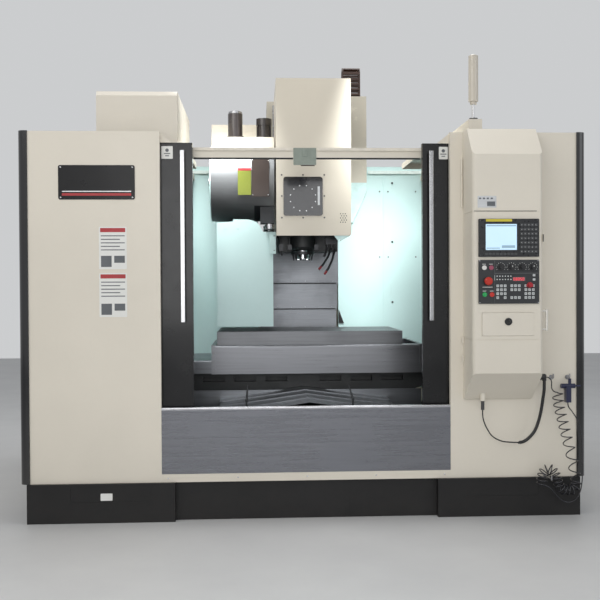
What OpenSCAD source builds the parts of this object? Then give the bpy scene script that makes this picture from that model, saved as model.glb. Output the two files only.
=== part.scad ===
// Vertical machining centre: cast bed, column, cross slide and table, a spindle head with an
// arm-type tool changer, and a sheet-metal enclosure with two sliding doors and a side console.
// Millimetres. +X runs to the right of someone in front of it, +Y towards the column, +Z up.
// The origin is on the floor, in the middle of the machine's width and depth.
// Modules draw in machine_y coordinates, where y = 0 is the face of the front covers.

/* [Enclosure] */
// Width over the corner trims
enclosure_w = 3600; // [3500:10:3800]
// Height of the top edge of the front covers above the floor
cover_top = 2456; // [2420:2:2600]
// Height of the black plinth above the floor
plinth_top = 246; // [220:2:260]
// Length of the side covers behind the front face
side_l = 2300; // [2200:10:2400]
// Width of the opening between the two front covers
opening_w = 1840; // [1760:10:1900]
// Thickness of the sheet metal covers
sheet = 3; // [2:0.5:5]
// Depth of the folded edge all round a cover
fold = 40; // [30:1:45]
// Width of a corner trim, seen from the front
trim_w = 62; // [50:1:70]
// Radius of the corner trims' outer edge
trim_r = 42; // [20:1:48]
// Height of the stainless apron's top edge
apron_top = 718; // [690:2:730]
// Height of the apron's bottom edge, where the sill strip starts
apron_bottom = 297; // [280:1:320]
// Height of the roof sheets to the left and right of the head
roof_z = 2390; // [2380:2:2400]
// Height of the header strip's top edge above the floor
header_top = 2371; // [2360:1:2376]
// Height of the header strip over the doors
header_h = 62; // [50:1:80]

/* [Doors] */
// Thickness of a door frame
door_t = 38; // [30:1:42]
// Height of the doors' top edge
door_top = 2394; // [2380:2:2410]
// Width of the door frame round its window
door_frame_w = 95; // [80:1:120]
// Width of a door's leading stile, beside its handle
stile_w = 212; // [204:2:240]
// Gap between the open left door's outer edge and the corner trim
left_door_gap = 43; // [10:1:60]
// Gap between the open right door's outer edge and the corner trim
right_door_gap = 8; // [6:1:60]
// Running gap between the doors and the covers in front of them
door_gap = 18; // [12:1:24]
// Length of a door handle
handle_l = 1084; // [900:4:1200]
// Diameter of a door handle
handle_d = 30; // [24:1:36]

/* [Bed and column] */
// Position of the spindle, the column and the bed across the machine
axis_x = 25; // [0:5:40]
// Height of the bed's underside above the floor
foot_h = 60; // [50:1:80]
// Height of the bed casting
bed_h = 500; // [490:2:504]
// Width of the bed casting
bed_w = 1180; // [1100:10:1300]
// Where the bed casting starts behind the front face
bed_front = 250; // [230:5:270]
// Where the column's front face stands behind the front face
column_front = 1760; // [1740:5:1780]
// Depth of the column
column_d = 700; // [650:10:740]
// Width of the column at its top
column_top_w = 500; // [480:5:520]
// Width of the column at its foot
column_foot_w = 1000; // [900:10:1100]
// Height of the column's top above the floor
column_top = 3020; // [3000:5:3060]

/* [Guides] */
// Width of a linear guide rail
rail_w = 45; // [35:1:50]
// Height of a rail with a carriage on it
guide_h = 70; // [66:1:74]
// Height of a rail by itself
rail_h = 40; // [36:1:44]
// Diameter of the ball screws
screw_d = 40; // [32:1:46]
// Distance of each Y rail from the middle of the bed
y_rail_x = 380; // [340:5:420]
// Distance of each X rail from the middle of the table
x_rail_y = 250; // [220:5:270]
// Distance of each Z rail from the middle of the column
z_rail_x = 180; // [160:5:190]

/* [Axes] */
// Travel of the cross slide to the front from where it stands
y_travel_front = 540; // [500:10:540]
// Travel of the cross slide to the rear from where it stands
y_travel_rear = 60; // [40:5:65]
// Travel of the table to the left from where it stands
x_travel_left = 648; // [600:4:648]
// Travel of the table to the right from where it stands
x_travel_right = 552; // [500:4:552]
// Travel of the head down from where it stands
z_travel_down = 300; // [260:10:320]
// Travel of the head up from where it stands
z_travel_up = 380; // [340:10:400]

/* [Table] */
// Length of the table
table_l = 1360; // [1300:10:1400]
// Depth of the table
table_d = 700; // [660:10:710]
// Thickness of the table plate
table_t = 97; // [90:1:110]
// Height of the cross slide casting
slide_h = 210; // [200:1:220]
// Length of the cross slide casting
slide_l = 2000; // [1900:10:2100]
// Height of the pads between the carriages and the table plate
pad_h = 143; // [136:1:150]
// Where the table's front stands behind the front face
table_front = 850; // [840:5:855]
// Where the middle of the table stands to the right of the spindle
table_offset = 48; // [20:2:60]
// Number of T-slots
slot_count = 5; // [3:2:5]
// Distance from one T-slot to the next
slot_pitch = 125; // [100:5:130]
// Width of a T-slot's mouth
slot_w = 18; // [14:1:22]
// How far the table guard stands out past the table
guard_over = 33; // [25:1:40]
// Height of the table guard
guard_h = 210; // [200:2:214]

/* [Way covers] */
// How much two telescopic plates still overlap at full stretch
cover_lap = 40; // [20:5:45]
// Distance from one nested plate to the next
nest = 7; // [6:0.5:8]
// Thickness of the telescopic plates
plate_t = 2.5; // [2:0.5:3]
// Height of the sliding covers beside the table
tunnel_top = 944; // [936:1:960]
// Half width of the roof-shaped cover before the cross slide
roof_cover_w = 610; // [580:5:640]
// Height of its ridge above the floor
roof_ridge_z = 748; // [742:1:752]
// Drop from its ridge to its eaves
roof_drop = 84; // [70:1:90]
// Half width of the cover on the column's front
z_cover_w = 326; // [300:2:340]

/* [Head] */
// Distance of the spindle axis behind the front face
spindle_y = 950; // [945:1:955]
// Height of the spindle nose
nose_z = 1682; // [1676:2:1690]
// Height of the head cover's lower edge
head_bottom = 1842; // [1836:2:1860]
// Height of the head cover
head_h = 1120; // [1100:5:1140]
// Where the head cover's face stands behind the front face
head_front = 700; // [695:1:710]
// Depth of the head cover
head_d = 780; // [740:5:800]
// How far the head cover reaches to the left of the spindle
head_left = 197; // [195:1:200]
// How far the head cover reaches to the right of the spindle
head_right = 338; // [330:1:345]
// Side of the window in the head cover
window_w = 256; // [220:2:260]
// Diameter of the spindle housing
housing_d = 194; // [184:2:200]
// Diameter of the spindle shaft
spindle_d = 88; // [80:2:96]

/* [Tool changer] */
// Radius of the magazine casing
drum_r = 296; // [290:1:298]
// Width of the magazine casing
drum_w = 462; // [440:2:464]
// Height of the magazine's axis
drum_z = 2270; // [2266:1:2272]
// Distance of the magazine's axis behind the front face
drum_y = 1100; // [1096:1:1106]
// Gap between the magazine casing and the head cover
drum_gap = 12; // [8:1:20]
// Number of tool pots
pot_count = 20; // [12:1:20]
// Height of the tool changer arm
arm_z = 1888; // [1886:1:1892]
// Length of the tool changer arm
arm_l = 500; // [460:10:520]

/* [Console] */
// Left edge of the console, from the middle of the machine
console_x = 1003; // [1000:1:1020]
// Width of the console
console_w = 436; // [420:1:450]
// Depth of the console
console_d = 250; // [230:1:260]
// Height of the console's front lower edge
console_z = 938; // [920:2:950]
// Height of the upper end of its flat front
console_flat_top = 2280; // [2260:2:2300]
// Radius of the console's upright edges
console_r = 26; // [10:1:30]
// Width of the display and the operator panel
panel_w = 374; // [360:1:380]
// Height of the display unit's middle
display_z = 1768; // [1764:1:1772]
// Height of the display unit
display_h = 232; // [220:1:236]
// Height of the operator panel's middle
operator_z = 1500; // [1496:1:1504]
// Height of the operator panel
operator_h = 268; // [260:1:270]
// Diameter of the emergency stop's head
stop_d = 50; // [40:1:56]
// Travel of the emergency stop
stop_travel = 6; // [4:0.5:8]
// Diameter of a push button
button_d = 28; // [22:1:30]
// Travel of a push button
button_travel = 3; // [2:0.5:4]
// Diameter of a rotary switch
dial_d = 44; // [36:1:50]
// Width of the drawer
drawer_w = 316; // [300:2:330]
// Height of the drawer
drawer_h = 138; // [130:1:142]
// Depth of the drawer
drawer_d = 190; // [160:5:200]
// Travel of the drawer
drawer_travel = 140; // [100:5:145]

/* [Rear] */
// Width of the electrical cabinet
cabinet_w = 1050; // [900:10:1100]
// Depth of the electrical cabinet
cabinet_d = 440; // [380:10:460]
// Height of the electrical cabinet
cabinet_h = 1850; // [1600:10:1950]
// Height of its underside above the floor
cabinet_z = 260; // [220:10:300]
// Height of the coolant tank
tank_h = 380; // [320:10:400]

/* [Hidden] */

$fn = 64;
// A hair of overlap for cuts that must break through a face
eps = 0.5;
// Clearance at rest between pieces that are seated on each other
seat = 0.3;

// Depths along the machine, from the front face backwards
bezel_t = 12;
front_ext = console_d + bezel_t + stop_travel + 32;
cabinet_y = side_l + 10;
cabinet_handle = 26;
rear_ext = cabinet_y + cabinet_d + cabinet_handle;
machine_y = (front_ext - rear_ext) / 2;

// Enclosure
half_w = enclosure_w / 2;
cover_x = half_w - trim_w;
half_open = opening_w / 2;
inner_x = half_w - 110;
door_y = fold + door_gap;
header_y = door_y + door_t + 17;
guard_y = column_front - 110;
header_z = header_top - header_h;

// Height stack from the floor to the table
bed_top = foot_h + bed_h;
slide_z = bed_top + guide_h;
slide_top = slide_z + slide_h;
pad_z = slide_top + guide_h;
plate_z = pad_z + pad_h;
table_top = plate_z + table_t;

// Table and cross slide
table_x = axis_x + table_offset;
table_y = table_front + table_d / 2;
table_back = table_front + table_d;
carriage_l = 100;
x_carriage = 190;
y_carriage = 200;
guard_x = table_l / 2 + guard_over;
guard_z = plate_z - guard_h;
rail_seat = 60;

// Telescopic cover before the cross slide
cover_start = 126;
y_plate_l = (y_travel_front + y_travel_rear) / 3 + cover_lap;
y_plate_y = cover_start + y_travel_front;
front_plate_y = y_plate_y + y_plate_l - 87;
slide_front = y_plate_y + y_plate_l + 6;
slide_d = 2 * (table_y - slide_front);

// Telescopic covers beside the table
x_span = x_travel_left + x_travel_right;
x_end = inner_x - 50;
x_fixed_l_left = x_end + axis_x - 0.5 * x_span - x_carriage - carriage_l / 2 - 30;
x_fixed_l_right = x_end - axis_x - 0.5 * x_span - x_carriage - carriage_l / 2 - 30;
x_plate_l_left = 830;
x_plate_l_right = 795;
guard_x1 = axis_x + 880;

// Head
cover_l = axis_x - head_left;
cover_r = axis_x + head_right;
head_top = head_bottom + head_h;

// Tool changer
drum_x1 = cover_l - drum_gap;
drum_x0 = drum_x1 - drum_w;
arm_x = axis_x - 250;
hood_z = drum_z + 226;
hood_top = hood_z + 80;

// Console
console_x1 = console_x + console_w;
panel_x = console_x + 34;
panel_mid = panel_x + panel_w / 2;
bezel_y = -console_d - bezel_t;
screen_x = panel_x + 38;
screen_w = 204;
screen_h = 170;
stop_x = panel_x + 54;
stop_z = operator_z + 4;

// Route points of the cables and the hose, chosen by hand
gland_x = 1112;
gland_z = 738;
thin_d = 8;
thin_route = [[1112, -60, 690], [1112, -60, 655], [1118, -62, 620], [1136, -64, 575],
    [1170, -68, 524], [1222, -72, 494], [1278, -74, 484], [1345, -74, 481]];
thick_d = 22;
thick_route = [[1345, -74, 481], [1372, -76, 488], [1405, -78, 512], [1440, -80, 555],
    [1464, -84, 618], [1478, -92, 690], [1486, -102, 760], [1490, -112, 815], [1490, -116, 850],
    [1490, -116, 876]];
lead_route = [[1467.3, -176, 906], [1484, -176, 906], [1502, -171, 899], [1521, -157, 881],
    [1530, -136, 853], [1539, -115, 825], [1560, -101, 805], [1590, -96, 797.5]];
coil_d = 72;
hose_route = [[1592, -64, 792], [1600, -66, 720], [1618, -68, 640], [1640, -72, 550],
    [1662, -76, 460], [1682, -80, 370], [1696, -84, 290], [1704, -87, 230], [1690, -88, 192],
    [1672, -88, 180], [1650, -88, 180]];
bunch_route = [[1649.7, -88, 180], [1630, -88, 180], [1600, -90, 196], [1584, -90, 230],
    [1566, -90, 280], [1536, -90, 310], [1502, -90, 300], [1486, -88, 262], [1484, -88, 220]];
tail_route = [[1480, -117, 215], [1502, -117, 212], [1530, -114, 196], [1556, -108, 168],
    [1586, -100, 134], [1620, -92, 108], [1662, -84, 98], [1702, -76, 112], [1734, -68, 150],
    [1751, -60, 206], [1758, -54, 280], [1760, -48, 370], [1758, -45, 460], [1748, -45, 550],
    [1724, -46, 622], [1692, -46, 672], [1670, -46, 702], [1666, -46, 730]];

module placed() {
    translate([0, machine_y, 0]) children();
}

module span(x0, x1, y0, y1, z0, z1) {
    translate([x0, y0, z0]) cube([x1 - x0, y1 - y0, z1 - z0]);
}

// Cylinders along X and along Y that start at a point
module rod_x(p, l, d) {
    translate(p) rotate([0, 90, 0]) cylinder(h = l, d = d);
}
module rod_y(p, l, d) {
    translate(p) rotate([-90, 0, 0]) cylinder(h = l, d = d);
}
module rod_z(p, l, d) {
    translate(p) cylinder(h = l, d = d);
}

// Flat rectangle with round corners, its corner at the origin
module round_rect(w, h, r) {
    translate([r, 0]) square([w - 2 * r, h]);
    translate([0, r]) square([w, h - 2 * r]);
    for (x = [r, w - r], y = [r, h - r]) translate([x, y]) circle(r);
}

// Plate that stands upright and faces the front, with round corners
module face_plate(x, z, y, w, h, t, r) {
    translate([x, y + t, z]) rotate([90, 0, 0]) linear_extrude(t) round_rect(w, h, r);
}

// Folded sheet facing the front: a skin with its edges turned back
module front_tray(x0, x1, y, z0, z1) {
    difference() {
        span(x0, x1, y, y + fold, z0, z1);
        span(x0 + sheet, x1 - sheet, y + sheet, y + fold + eps, z0 + sheet, z1 - sheet);
    }
}

// Folded sheet facing sideways; inward is 1 when its folds turn towards +X
module side_tray(x, inward, y0, y1, z0, z1) {
    translate([x, 0, 0]) mirror([inward > 0 ? 0 : 1, 0, 0]) difference() {
        span(0, fold, y0, y1, z0, z1);
        span(sheet, fold + eps, y0 + sheet, y1 - sheet, z0 + sheet, z1 - sheet);
    }
}

// Folded sheet facing up, its edges turned down
module top_tray(x0, x1, y0, y1, z, h) {
    difference() {
        span(x0, x1, y0, y1, z - h, z);
        span(x0 + sheet, x1 - sheet, y0 + sheet, y1 - sheet, z - h - eps, z - sheet);
    }
}

// Row of slanted-looking air slots cut through a side sheet
module side_louvres(x, y, z, l, count, pitch) {
    for (i = [0 : count - 1]) span(x - fold, x + fold, y, y + l, z + i * pitch, z + i * pitch + 9);
}

// Guide rail profile with waisted sides, lying along +X from the origin
module rail(l) {
    w = rail_w / 2;
    rotate([90, 0, 90]) linear_extrude(l) polygon([[-w, 0], [w, 0], [w, rail_h * 0.45],
        [w * 0.72, rail_h * 0.6], [w * 0.72, rail_h * 0.72], [w, rail_h * 0.86], [w, rail_h],
        [-w, rail_h], [-w, rail_h * 0.86], [-w * 0.72, rail_h * 0.72], [-w * 0.72, rail_h * 0.6],
        [-w, rail_h * 0.45]]);
}

// Carriage that straddles a rail along X; its top is guide_h above the rail's seat
module carriage() {
    difference() {
        translate([-carriage_l / 2, -rail_seat, 8]) cube([carriage_l, 2 * rail_seat, guide_h - 8 + eps]);
        translate([-carriage_l, -rail_w / 2 - 1, 0]) cube([2 * carriage_l, rail_w + 2, rail_h + 1]);
    }
}

// Servo motor with its flange at the origin, its body along +Z
module servo(w, l) {
    translate([-w / 2, -w / 2, 0]) cube([w, w, 14]);
    translate([0, 0, 14]) cylinder(h = l * 0.62, d = w * 0.96);
    translate([-w * 0.36, -w * 0.36, 14 + l * 0.62]) cube([w * 0.72, w * 0.72, l * 0.38 - 14]);
    translate([-w * 0.2, w * 0.3, 14 + l * 0.66]) cube([w * 0.4, w * 0.3, l * 0.2]);
}

// Bed casting: box section with side pockets between ribs, a chip slope in front and pads
// under the column and under the rails.
module bed() color("dimgray") placed() {
    back = column_front + column_d;
    pocket_l = 270;
    pocket_pitch = 320;
    pockets = floor((back - bed_front - 300) / pocket_pitch);
    difference() {
        translate([axis_x, 0, foot_h]) rotate([90, 0, 90]) translate([0, 0, -bed_w / 2])
            linear_extrude(bed_w) polygon([[bed_front, 0], [back, 0], [back, bed_h],
                [bed_front + 40, bed_h], [bed_front, bed_h - 60]]);
        for (side = [-1, 1], i = [0 : pockets - 1])
            translate([axis_x + side * bed_w / 2, bed_front + 130 + i * pocket_pitch, foot_h + 120])
                translate([side > 0 ? -90 : -eps, 0, 0]) cube([90 + eps, pocket_l, bed_h - 240]);
        span(axis_x - y_rail_x + 90, axis_x + y_rail_x - 90, bed_front + 60, column_front - 80,
            bed_top - 110, bed_top + eps);
        span(axis_x - 70, axis_x + 70, bed_front - eps, bed_front + 60 + eps, bed_top - 110, bed_top + eps);
    }
    for (side = [-1, 1]) span(axis_x + side * (bed_w / 2 - 60) - 60, axis_x + side * (bed_w / 2 - 60) + 60,
        column_front + 30, back, foot_h, bed_top);
}

// Levelling feet: a pad on the floor, a stud and a lock nut under each corner and the middle
module levelling_feet() color("silver") placed() {
    for (side = [-1, 1], y = [bed_front + 110, (bed_front + column_front) / 2, column_front + 60,
            column_front + column_d - 90]) {
        translate([axis_x + side * (bed_w / 2 - 90), y, 0]) {
            cylinder(h = 18, d = 140);
            translate([0, 0, 18]) cylinder(h = 14, d1 = 90, d2 = 46);
            translate([0, 0, 32]) cylinder(h = foot_h - 32 - seat, d = 30);
            translate([0, 0, foot_h - 22]) cylinder(h = 18, d = 54, $fn = 6);
        }
    }
}

// Black plinth: two forward end sections, a set-back middle and the two long sides
module base_skirt() color("#1b1b1d") placed() {
    leg_x = 835;
    end_x = half_w - 44;
    proud = 20;
    z0 = 0;
    for (side = [-1, 1]) {
        difference() {
            span(side > 0 ? leg_x : -end_x, side > 0 ? end_x : -leg_x, -proud, fold, z0, plinth_top - seat);
            span(side > 0 ? leg_x + 4 : -end_x + 4, side > 0 ? end_x - 4 : -leg_x - 4,
                -proud + 4, fold + eps, z0 - eps, plinth_top - 4);
            // Shallow fork pocket in each end section
            mid = side * 1253;
            span(mid - 233, mid + 233, -proud - eps, -proud + 2, 131, 233);
        }
        span(side > 0 ? end_x - 4 : -end_x, side > 0 ? end_x : -end_x + 4, fold + seat, side_l,
            z0, plinth_top - seat);
    }
    span(-leg_x + seat, leg_x - seat, 30, 34, z0, plinth_top - seat);
    span(-leg_x + seat, leg_x - seat, 34, 70, plinth_top - 4, plinth_top - seat);
}

// Chip pan: the sloped sheets on both sides of the bed, a chute to the tank and the two
// flushing nozzles in front
module chip_pan() color("#5b6660") placed() {
    gap = bed_w / 2 + seat;
    pan_top = 640;
    pan_low = 430;
    y0 = door_y + door_t + 8;
    for (side = [-1, 1])
        translate([0, y0, 0]) rotate([90, 0, 0]) mirror([0, 0, 1])
            linear_extrude(guard_y - y0 - seat)
                polygon([[axis_x + side * gap, pan_low], [side * (inner_x - seat), pan_top],
                    [side * (inner_x - seat), pan_top + 6], [axis_x + side * gap, pan_low + 6]]);
    for (side = [-1, 1])
        span(side > 0 ? axis_x + gap : -inner_x + 6, side > 0 ? inner_x - 6 : axis_x - gap,
            y0, y0 + 4, pan_low, 628);
    // Chute over the coolant tank
    translate([-1500, 0, 0]) rotate([90, 0, 90]) difference() {
        linear_extrude(320) polygon([[guard_y - 40, 560], [guard_y - 40, 632], [2120, 530], [2120, 462]]);
        translate([0, 0, 4]) linear_extrude(312) polygon([[guard_y - 60, 568], [guard_y - 60, 650],
            [2130, 545], [2130, 466]]);
    }
    // Flush pipe with two nozzles
    y = door_y + door_t + 17;
    for (x = [-385, 305]) {
        rod_z([x, y, 570], 176, 13);
        translate([x, y, 744]) sphere(d = 19);
        translate([x, y, 744]) rotate([-6, x > 0 ? -16 : 5, 0]) cylinder(h = 96, d1 = 16, d2 = 9);
    }
    rod_x([-440, y, 570], 800, 22);
    for (x = [-440, 346]) span(x, x + 14, y0 + 2, y + 5, 540, 582);
    span(-600, 600, y0, y0 + 4, 540, 560);
}

// Column: box casting with tapering flanks, cast openings in its sides and a rail seat in front
trough_x0 = axis_x + z_cover_w + 8;
trough_x1 = 592;
trough_d = column_front - guard_y + 14;
module trough_outline(grow) {
    polygon([[trough_x0 - grow, 2003 - grow], [478 + grow / 2, 2003 - grow],
        [trough_x1 + grow, 2258 - grow / 2], [trough_x1 + grow, 3040 + grow],
        [trough_x0 - grow, 3040 + grow]]);
}
module column() color("#d8d2c2") placed() {
    top = column_top - bed_top - seat;
    foot = column_foot_w / 2;
    neck = column_top_w / 2;
    translate([axis_x, column_front, bed_top + seat]) difference() {
        translate([0, column_d, 0]) rotate([90, 0, 0]) linear_extrude(column_d)
            polygon([[-foot, 0], [foot, 0], [foot, 120], [neck, top * 0.62], [neck, top],
                [-neck, top], [-neck, top * 0.62], [-foot, 120]]);
        // The back slopes in towards the top
        translate([-foot - eps, 0, 0]) rotate([90, 0, 90]) linear_extrude(column_foot_w + 2 * eps)
            polygon([[column_d + eps, 260], [column_d + eps, top + eps], [column_d - 170, top + eps],
                [column_d - 170, top - 300]]);
        // Hollow between the rail seats
        translate([-z_rail_x + 55, -eps, 300]) cube([2 * z_rail_x - 110, 240, top - 420]);
        // Core openings with round ends in both flanks
        for (z = [520, 1080, 1640]) translate([-foot - eps, column_d / 2 - 40, z])
            rotate([90, 0, 90]) linear_extrude(column_foot_w + 2 * eps)
                translate([-70, -120]) round_rect(140, 240, 69);
    }
    // Cable trough on the right of the column, tapering towards its lower end
    difference() {
        translate([0, column_front, 0]) rotate([90, 0, 0]) linear_extrude(trough_d) trough_outline(0);
        span(trough_x0 + 6, trough_x1 - 6, column_front - trough_d + 6, column_front - 6, 2420, 3040 + eps);
    }
    span(axis_x + neck - 40, trough_x0 + 40, column_front - eps, column_front + 50, 2520, 2960);
}

// Rails of the Y and Z axes, with both ball screws, their bearings and servo motors
module axis_guides() color("silver") placed() {
    y0 = bed_front + 80;
    y1 = column_front - 80;
    for (side = [-1, 1]) translate([axis_x + side * y_rail_x, y0, bed_top + seat])
        rotate([0, 0, 90]) rail(y1 - y0);
    z0 = 1120;
    for (side = [-1, 1]) translate([axis_x + side * z_rail_x, column_front - seat, z0])
        rotate([0, -90, 90]) rail(column_top - 40 - z0);
    // Y screw in the bed's trough
    rod_y([axis_x, y0, bed_top - 30], y1 - y0 - 120, screw_d);
    for (y = [y0 - 10, y1 - 150]) span(axis_x - 60, axis_x + 60, y, y + 50, bed_top - 110 + seat,
        bed_top + 20);
    translate([axis_x, y0 - 10, bed_top - 30]) rotate([90, 0, 0]) scale(0.5) servo(150, 200);
    // Z screw between the rails, its motor on a bracket over the column's top
    rod_z([axis_x, column_front - 36, z0 + 60], column_top + 30 - z0 - 60, screw_d);
    span(axis_x - 70, axis_x + 70, column_front - 80, column_front - seat, z0 + 60, z0 + 120);
    span(axis_x - 90, axis_x + 90, column_front - 84, column_front + 60, column_top + seat,
        column_top + 30);
    translate([axis_x, column_front - 10, column_top + 30]) servo(120, 140);
}

// Roof sheet of the right side with folded edges, stepped back beside the head
roof_step_y = 950;
module roof_sheet(x_in, x_mid) {
    x1 = half_w - fold - 4 - seat;
    y0 = header_y + fold + seat;
    y1 = guard_y - seat;
    t = sheet;
    translate([0, 0, roof_z - fold]) difference() {
        linear_extrude(fold) polygon([[x_in, y0], [x1, y0], [x1, y1], [x_mid, y1],
            [x_mid, roof_step_y], [x_in, roof_step_y]]);
        translate([0, 0, -eps]) linear_extrude(fold - t + eps) polygon([[x_in + t, y0 + t],
            [x1 - t, y0 + t], [x1 - t, y1 - t], [x_mid + t, y1 - t], [x_mid + t, roof_step_y - t],
            [x_in + t, roof_step_y - t]]);
    }
}

// Gusset in the inner top corner of a front cover
module corner_gusset(side) {
    translate([0, fold, 0]) rotate([90, 0, 0]) linear_extrude(sheet) polygon([[side * (half_open + 1),
        cover_top - 4], [side * (half_open - 75), cover_top - 64], [side * (half_open + 1),
        cover_top - 64]]);
}

// One front cover with its side cover, roof sheet and raised box
module left_cover() color("#e9dfca") placed() {
    front_tray(-cover_x, -half_open, 0, plinth_top, cover_top);
    side_x = -half_w + 4;
    difference() {
        side_tray(side_x, 1, trim_w + 12, side_l, plinth_top, cover_top);
        side_louvres(side_x, side_l - 460, 900, 320, 14, 26);
        // Seams between the three side sheets
        for (y = [800, 1560]) span(side_x - eps, side_x + 1.5, y - 2, y + 2, plinth_top - eps,
            cover_top + eps);
    }
    corner_gusset(-1);
    mirror([1, 0, 0]) roof_sheet(left_door_open + 36, 818);
    // Raised box over the tool magazine's side, with a bevelled top edge
    x0 = -1340;
    x1 = -822;
    top = 2744;
    l = 1015;
    difference() {
        translate([0, 160, 0]) rotate([90, 0, 90]) translate([0, 0, x0]) linear_extrude(x1 - x0)
            polygon([[0, roof_z - eps], [l, roof_z - eps], [l, top], [22, top], [0, top - 30]]);
        span(x0 + sheet, x1 - sheet, 160 + sheet, 160 + l - sheet, roof_z - 1, top - sheet - 28);
    }
}

module right_cover() color("#e9dfca") placed() {
    front_tray(half_open, cover_x, 0, plinth_top, cover_top);
    side_x = half_w - 4;
    difference() {
        side_tray(side_x, -1, trim_w + 12, side_l, plinth_top, cover_top);
        side_louvres(side_x, side_l - 460, 900, 320, 14, 26);
        for (y = [800, 1560]) span(side_x - 1.5, side_x + eps, y - 2, y + 2, plinth_top - eps,
            cover_top + eps);
    }
    corner_gusset(1);
    roof_sheet(right_door_open + 16, 1040);
    // Long raised duct that carries the lamp
    x0 = 1083;
    x1 = 1170;
    top = 2572;
    difference() {
        span(x0, x1, 160, 1300, roof_z - eps, top);
        span(x0 + sheet, x1 - sheet, 160 + sheet, 1300 - sheet, roof_z - 1, top - sheet);
    }
    // Two J-hooks for the air hose and the air gun
    for (x = [1572, 1678]) {
        rod_y([x, -46, 886], 46 + eps, 9);
        rod_z([x, -46, 886], 26, 9);
        rod_y([x, -5, 886], 5 + eps, 30);
    }
    // Peg with a turned-up end that carries the hose's slack turns
    rod_y([1530, -136, 256], 136 + eps, 9);
    rod_z([1530, -136, 251.5], 26, 9);
    rod_y([1530, -5, 256], 5 + eps, 18);
}

// Gloss black corner profiles with a round outer edge
module corner_trims() color("#141416") placed() {
    for (side = [-1, 1]) mirror([side > 0 ? 0 : 1, 0, 0]) translate([0, 0, plinth_top])
        linear_extrude(cover_top - plinth_top + 2) {
            difference() {
                union() {
                    translate([cover_x + seat, -8]) square([trim_w - trim_r, trim_w + 16]);
                    translate([cover_x + seat, -8 + trim_r]) square([trim_w - seat, trim_w + 16 - trim_r]);
                    translate([half_w - trim_r, -8 + trim_r]) intersection() {
                        circle(trim_r);
                        translate([0, -trim_r]) square(trim_r);
                    }
                }
                translate([cover_x + 6, 4]) square([trim_w - trim_r, trim_w]);
            }
        }
}

// Brushed stainless apron under the opening, with a rolled top edge
module front_apron() color("silver") placed() {
    x = half_open - seat;
    lip_r = 9;
    difference() {
        span(-x, x, 2, 2 + sheet, apron_bottom + seat, apron_top - lip_r);
    }
    span(-x, x, 2 + sheet, 44, apron_bottom + seat, apron_bottom + seat + sheet);
    difference() {
        rod_x([-x, 2 + lip_r, apron_top - lip_r], 2 * x, 2 * lip_r);
        rod_x([-x - eps, 2 + lip_r, apron_top - lip_r], 2 * x + 2 * eps, 2 * (lip_r - sheet));
        span(-x - eps, x + eps, 2 + lip_r, 2 + 3 * lip_r, apron_top - 3 * lip_r, apron_top - lip_r);
    }
    // Turned-down rear leg of the rolled edge
    span(-x, x, 2 + 2 * lip_r - sheet, 2 + 2 * lip_r, apron_top - 60, apron_top - lip_r);
    for (x1 = [-750 : 300 : 750]) span(x1 - 20, x1 + 20, 2 + 2 * lip_r - 1, door_y - 4 - seat,
        apron_top - 58, apron_top - 54);
}

// Sill strip under the apron and header strip over the doors, with the middle bracket
module front_frame() color("#e9dfca") placed() {
    x = half_open - seat;
    front_tray(-x, x, 0, plinth_top, apron_bottom);
    hx = inner_x + sheet;
    difference() {
        span(-hx, hx, header_y, header_y + fold, header_z, header_top);
        span(-hx + sheet, hx - sheet, header_y + sheet, header_y + fold + eps, header_z + sheet,
            header_top + eps);
    }
    // Bracket that stops both doors in the middle
    face_plate(-74, header_z - 48, header_y - 5, 147, header_h + 48, 5 + eps, 4);
    span(-14, 14, header_y - 12, header_y - 4, header_z + 8, header_z + 54);
    // Wedge-shaped stay behind it
    translate([-22, 0, 0]) rotate([90, 0, 90]) linear_extrude(90) polygon([
        [header_y + fold + seat, header_z], [header_y + fold + 110, header_z],
        [header_y + fold + 30, header_z - 44]]);
}

// Upper track, a slim lip on the header's face that the doors hook over, and the lower track
track_lip = 19;
module door_tracks() color("#3c3f42") placed() {
    x = inner_x - 10;
    mid = door_y + door_t / 2;
    for (side = [-1, 1]) {
        x0 = side > 0 ? 80 : -x;
        span(x0, x0 + x - 80, header_y - 14, header_y - seat, header_top - track_lip,
            header_top - track_lip + 4);
        span(x0, x0 + x - 80, header_y - 14, header_y - 11, header_top - track_lip, header_top);
    }
    difference() {
        span(-x, x, door_y - 4, door_y + door_t + 4, apron_top - 80, apron_top - 22);
        span(-x - eps, x + eps, mid - 7, mid + 7, apron_top - 56, apron_top - 22 + eps);
    }
}

// Sliding door: welded frame with a window opening, guide fins and a long bar handle.
// Its leading edge is at x = 0 and it reaches to -x.
door_z = apron_top - 16;
door_h = door_top - door_z;
door_w = half_open + 56;
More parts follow.
